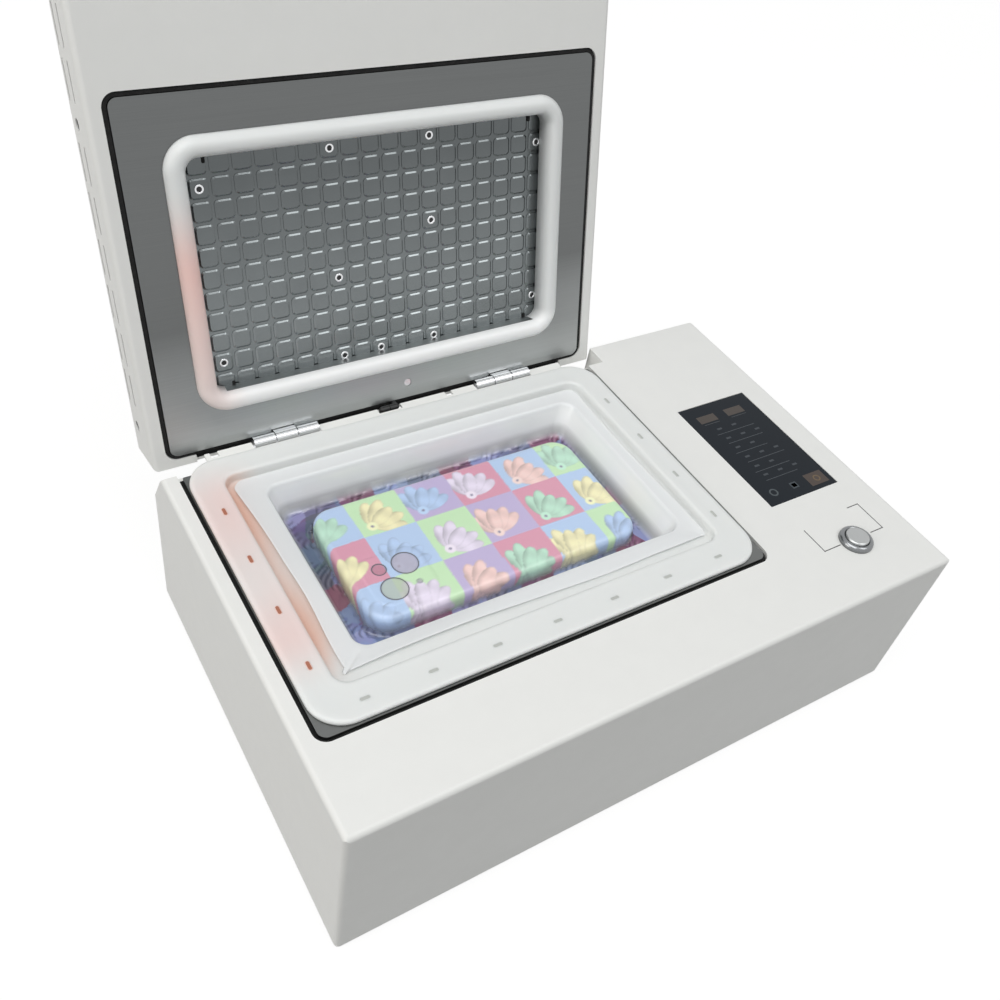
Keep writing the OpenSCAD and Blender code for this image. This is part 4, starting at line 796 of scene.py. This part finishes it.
def build_film():
    """The formed film: border, walls, printed floor, and a clear skin over the case."""
    loops, solid, print_on = [], [], []

    def add(loop, alpha, printed_here=0.0):
        loops.append(loop)
        solid.append(alpha)
        print_on.append(printed_here)

    add(film_edge(0, RIM_Z - 0.1), 0.8)
    add(film_edge(0.3, RIM_Z), 0.9)
    outer, inner = film_edge(0, RIM_Z), film_mouth(0.9, RIM_Z + 0.05)
    for t in (0.1, 0.35, 0.65, 0.9):
        row = outer * (1 - t) + inner * t
        row[:, 2] += 0.12 * smooth_noise(row, 9, 7) * math.sin(math.pi * t)
        add(row, 0.86)
    add(inner, 0.92)
    add(film_mouth(0.3, RIM_Z - 0.25), 0.92)
    for t in (0.04, 0.2, 0.4, 0.6, 0.8, 0.93):
        w, d = MOUTH_W + (FOOT_W - MOUTH_W) * t, MOUTH_D + (FOOT_D - MOUTH_D) * t
        z = RIM_Z - 0.6 + (FLOOR_Z + 2.2 - RIM_Z + 0.6) * t
        row = rounded_loop(TRAY_X, TRAY_Y, w, d, MOUTH_R - t, z)
        ripple = (0.22 + 0.35 * t) * smooth_noise(row, 7, 8) * math.sin(math.pi * t)
        pushed_out(row, np.array([TRAY_X, TRAY_Y]), ripple)
        add(row, 0.95 - 0.45 * step(t, 0.55, 0.95))
    for inset, z, alpha, share in FOOT_ROWS:
        add(film_foot(inset, z), alpha, share)
    floor_out = rounded_loop(TRAY_X, TRAY_Y, FOOT_W - 5, FOOT_D - 5, 5.4, FLOOR_Z + 0.1)
    floor_in = case_loop(2.5, FLOOR_Z + 0.1)
    for t in np.linspace(0, 1, 15):
        add(floor_out * (1 - t) + floor_in * t, 1.0, 1.0)
    for grow, z, alpha, share in SKIRT_ROWS:
        add(film_skirt(grow, z), alpha, share)
    edge, top = CASE_EDGE, CASE_TOP + 0.3
    for a in np.linspace(0, math.pi / 2, 7):
        inset = edge * (1 - math.cos(a)) - 0.3
        add(case_loop(-inset, top - edge + edge * math.sin(a)), 0.07)
    for inset in np.arange(edge + 0.8, CASE_D / 2 - 0.2, 1.1):
        add(case_loop(-inset, top), 0.05)
    add(case_spine(top), 0.05)

    verts, faces = loft(loops)
    flat = verts[:, 2] > top - 0.02
    flat &= np.abs(verts[:, 0] - CASE_X) < CASE_W / 2 - edge
    flat &= np.abs(verts[:, 1] - CASE_Y) < CASE_D / 2 - edge
    verts[flat, 2] += island_height(verts[flat, 0], verts[flat, 1]) * 0.8
    n = len(loops[0])
    walls = step(RIM_Z - verts[:, 2], 0.5, 2.5)
    tone = mixed(BORDER_TONE, WALL_TONE, walls)
    col = mixed(tone, floor_print(verts[:, 0], verts[:, 1]), np.repeat(print_on, n))
    piece = make("transfer_film_formed", verts, faces, "film", film_shader, "clear_film",
                 colours=col)
    layer = piece.data.attributes.new("solid", "FLOAT", "POINT")
    layer.data.foreach_set("value", np.repeat(solid, n).astype(np.float32))
    return piece


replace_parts(build_film(), "transfer_film", "transfer_film_floor")

# ---------------------------------------------------------------- control panel

PRINT_UP = 0.02
glass_low, glass_high = local_box("display_glass")
SCREEN_Z = glass_high.z + PRINT_UP
SCREEN_TONE = (18, 24, 30)
ui = Shader("display_marks", (90, 90, 90), 0.4)
ui.paint().bump(ui.noise(900), 0.02)


def build_screen():
    """Generic bars, boxes and round marks on a dark screen."""
    x0, y1 = glass_low.x, glass_high.y
    w, h = glass_high.x - x0, y1 - glass_low.y
    parts, tones = [], []

    def add(part, tone):
        parts.append(part)
        tones.extend([tone] * len(part[0]))

    def bar(u, v, bw, bh, tone):
        left, top = x0 + w * u, y1 - h * v
        add(flat_box(left, top - bh, left + bw, top, SCREEN_Z), tone)

    def disc(u, v, r, tone):
        ring = [(r, 0), (r * 0.72, 0.005), (r * 0.66, 0.0)]
        add(lathe(ring, (x0 + w * u, y1 - h * v, SCREEN_Z), 30), tone)

    for u in (0.14, 0.55):
        bar(u, 0.1, 12.5, 5.5, (66, 54, 44))
        bar(u + 0.02, 0.185, 11, 0.35, (62, 66, 70))
    for i, v in enumerate((0.3, 0.4, 0.5, 0.6, 0.7, 0.79)):
        bar(0.2 + 0.03 * (i % 2), v, 27 - 2 * (i % 3), 0.35, (70, 76, 82))
        for k in range(2 + i % 2):
            bar(0.26 + 0.22 * k, v - 0.055, 3.2, 1.3, (44, 52, 60))
    disc(0.18, 0.9, 2.6, (70, 80, 84))
    bar(0.44, 0.875, 4.4, 4.2, (56, 66, 74))
    bar(0.455, 0.885, 3.0, 2.6, (30, 40, 48))
    bar(0.68, 0.855, 12.5, 8.6, (66, 48, 36))
    disc(0.82, 0.91, 2.2, (122, 96, 60))
    faint = np.array(tones, float) * 0.8 + np.array(SCREEN_TONE) * 0.2
    return make("display_marks", *joined(parts), "base", ui, colours=faint, smooth=False)


build_screen()

MARK_W, MARK_Z = 0.55, TOP_Z + PRINT_UP
mark_ink = grain("panel_marks", (84, 84, 84), 0.6, scale=900, bump=0.02, tint=0.05)


def line(points):
    """Flat printed strips along a list of points."""
    parts = []
    for (ax, ay), (bx, by) in zip(points, points[1:]):
        d = Vector((bx - ax, by - ay)).normalized() * MARK_W / 2
        n = Vector((-d.y, d.x))
        corners = [(ax - d.x + n.x, ay - d.y + n.y), (ax - d.x - n.x, ay - d.y - n.y),
                   (bx + d.x - n.x, by + d.y - n.y), (bx + d.x + n.x, by + d.y + n.y)]
        parts.append((np.array([(x, y, MARK_Z) for x, y in corners]), [(0, 1, 2, 3)]))
    return joined(parts)


# The printed brackets, as corners from the start button's centre
RIGHT_MARK = [(13.5, 19.4), (21.2, 19.4), (21.2, 1.0), (12.4, 1.0)]
LEFT_MARK = [(-20.8, 16.4), (-20.8, 1.2), (-9.8, 1.2)]
button_low, button_high = local_box("start_button_body")
BUTTON_X = (button_low.x + button_high.x) / 2
BUTTON_Y = (button_low.y + button_high.y) / 2
marks = joined([line([(BUTTON_X + x, BUTTON_Y + y) for x, y in mark])
                for mark in (RIGHT_MARK, LEFT_MARK)])
make("panel_marks", *marks, "base", mark_ink, smooth=False)

BEZEL_R, CAP_R, CAP_GAP = 8.9, 6.1, 0.1
BEZEL_PROFILE = [(BEZEL_R - 1.9, -22), (BEZEL_R - 1.9, 0.02), (BEZEL_R, 0.02), (BEZEL_R, 1.0),
                 (BEZEL_R - 0.25, 1.9), (BEZEL_R - 0.9, 2.6), (BEZEL_R - 1.7, 2.95),
                 (BEZEL_R - 2.2, 2.9), (CAP_R + 0.15, 2.3), (CAP_R + CAP_GAP, 1.0),
                 (CAP_R + CAP_GAP, -4)]
steel_button = grain("button_steel", (134, 136, 138), 0.2, 1.0, scale=500, bump=0.02, tint=0.02)
button_body = make("start_button_bezel", *lathe(BEZEL_PROFILE, (BUTTON_X, BUTTON_Y, TOP_Z)),
                   "base", steel_button, "hinge_chrome")
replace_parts(button_body, "start_button_body")
cap_low, cap_high = local_box("start_button_cap")
CAP_FOOT, CAP_TOP = cap_low.z - TOP_Z, cap_high.z - TOP_Z
CAP_PROFILE = [(CAP_R, CAP_FOOT), (CAP_R, CAP_TOP - 0.7), (CAP_R - 0.3, CAP_TOP - 0.2),
               (CAP_R - 0.9, CAP_TOP), (4.2, CAP_TOP - 0.12), (2.0, CAP_TOP - 0.32),
               (0.01, CAP_TOP - 0.38)]
satin = grain("button_satin", (176, 178, 178), 0.3, 1.0, scale=1200, bump=0.06, tint=0.03)
button_cap = make("start_button_dished_cap", *lathe(CAP_PROFILE, (BUTTON_X, BUTTON_Y, TOP_Z)),
                  "button", satin, "brushed_plate")
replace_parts(button_cap, "start_button_cap")

# ---------------------------------------------------------------- floor, light and camera

FLOOR_HALF, FLOOR_TONE, FLOOR_GLOW = 6, (0.14, 0.14, 0.135, 1), (0.88, 0.88, 0.88, 1)
SKY_TONE, SKY_STRENGTH = (0.95, 0.98, 1.0, 1), 0.31

floor_mesh = bpy.data.meshes.new("floor")
floor_mesh.from_pydata([(x * FLOOR_HALF, y * FLOOR_HALF, 0)
                        for x, y in ((-1, -1), (1, -1), (1, 1), (-1, 1))], [], [(0, 1, 2, 3)])
floor = bpy.data.objects.new("floor", floor_mesh)
bpy.context.scene.collection.objects.link(floor)


def seen_white(tree, shown, other, target):
    """Mixes two shaders: one that is seen, mirrored or seen through, one for all else."""
    path = tree.nodes.new("ShaderNodeLightPath")
    mix = tree.nodes.new("ShaderNodeMixShader")
    seen = path.outputs["Is Camera Ray"]
    for ray in ("Is Glossy Ray", "Is Transmission Ray"):
        either = tree.nodes.new("ShaderNodeMath")
        either.operation = "MAXIMUM"
        tree.links.new(seen, either.inputs[0])
        tree.links.new(path.outputs[ray], either.inputs[1])
        seen = either.outputs[0]
    tree.links.new(seen, mix.inputs["Fac"])
    tree.links.new(other, mix.inputs[1])
    tree.links.new(shown, mix.inputs[2])
    tree.links.new(mix.outputs[0], target)


# The floor is seen as white with the object's soft shadow, and lights the object as grey
floor_mat = bpy.data.materials.new("floor")
floor_mat.use_nodes = True
floor_tree = floor_mat.node_tree
diffuse = floor_tree.nodes["Principled BSDF"]
diffuse.inputs["Base Color"].default_value = FLOOR_TONE
diffuse.inputs["Roughness"].default_value = 0.9
glow = floor_tree.nodes.new("ShaderNodeEmission")
glow.inputs["Color"].default_value = FLOOR_GLOW
shadowed = floor_tree.nodes.new("ShaderNodeAddShader")
floor_tree.links.new(diffuse.outputs[0], shadowed.inputs[0])
floor_tree.links.new(glow.outputs[0], shadowed.inputs[1])
seen_white(floor_tree, shadowed.outputs[0], diffuse.outputs[0],
           floor_tree.nodes["Material Output"].inputs["Surface"])
floor_mesh.materials.append(floor_mat)

world = bpy.data.worlds.new("studio")
bpy.context.scene.world = world
world.use_nodes = True
world_tree = world.node_tree
plain = world_tree.nodes["Background"]
plain.inputs["Color"].default_value = (1, 1, 1, 1)
plain.inputs["Strength"].default_value = 1.0
soft = world_tree.nodes.new("ShaderNodeBackground")
soft.inputs["Color"].default_value = SKY_TONE
soft.inputs["Strength"].default_value = SKY_STRENGTH
seen_white(world_tree, plain.outputs[0], soft.outputs[0],
           world_tree.nodes["World Output"].inputs["Surface"])


def area_light(name, place, aim, size, watts, colour=(1, 1, 1)):
    """A square lamp at place that points at aim, in frame metres."""
    data = bpy.data.lights.new(name, "AREA")
    data.shape, data.size, data.energy, data.color = "SQUARE", size, watts, colour
    lamp = bpy.data.objects.new(name, data)
    bpy.context.scene.collection.objects.link(lamp)
    turn = (Vector(aim) - Vector(place)).to_track_quat("-Z", "Y")
    lamp.matrix_world = Matrix.Translation(place) @ turn.to_matrix().to_4x4()


area_light("key", (-0.55, -0.35, 1.7), (0, 0, 0.1), 1.3, 15)
area_light("glint", (0.85, -0.95, 1.75), (0, 0, 0.15), 0.75, 7)
area_light("fill", (-1.7, 0, 0.8), (0, 0, 0.1), 1.0, 8, (1, 0.97, 0.92))

# Camera solved from the photograph's straight edges; lengths are in base heights
CASE_H = (TOP_Z - FOOT_H) * MM
FOCAL_PX, PHOTO_PX, SENSOR = 1027.52, 1000, 36.0
CLIP_NEAR, CLIP_FAR = 0.02, 30
TURN = Vector((2.3174, -0.5698, 0.4367))
SHIFT = Vector((-0.7303, 1.9928, 4.5638))
rot = Matrix.Rotation(TURN.length, 3, TURN.normalized())
eye = -(rot.transposed() @ SHIFT) * CASE_H + Vector((base_low.x, base_low.y, FOOT_H * MM))
look = rot.transposed() @ Matrix.Diagonal((1, -1, -1))
camera_data = bpy.data.cameras.new("camera")
camera_data.sensor_fit = "HORIZONTAL"
camera_data.sensor_width = SENSOR
camera_data.lens = SENSOR * FOCAL_PX / PHOTO_PX
camera_data.clip_start, camera_data.clip_end = CLIP_NEAR, CLIP_FAR
camera = bpy.data.objects.new("camera", camera_data)
bpy.context.scene.collection.objects.link(camera)
camera.matrix_world = Matrix.Translation(eye) @ look.to_4x4()
bpy.context.scene.camera = camera
bpy.context.scene.view_settings.view_transform = "Standard"
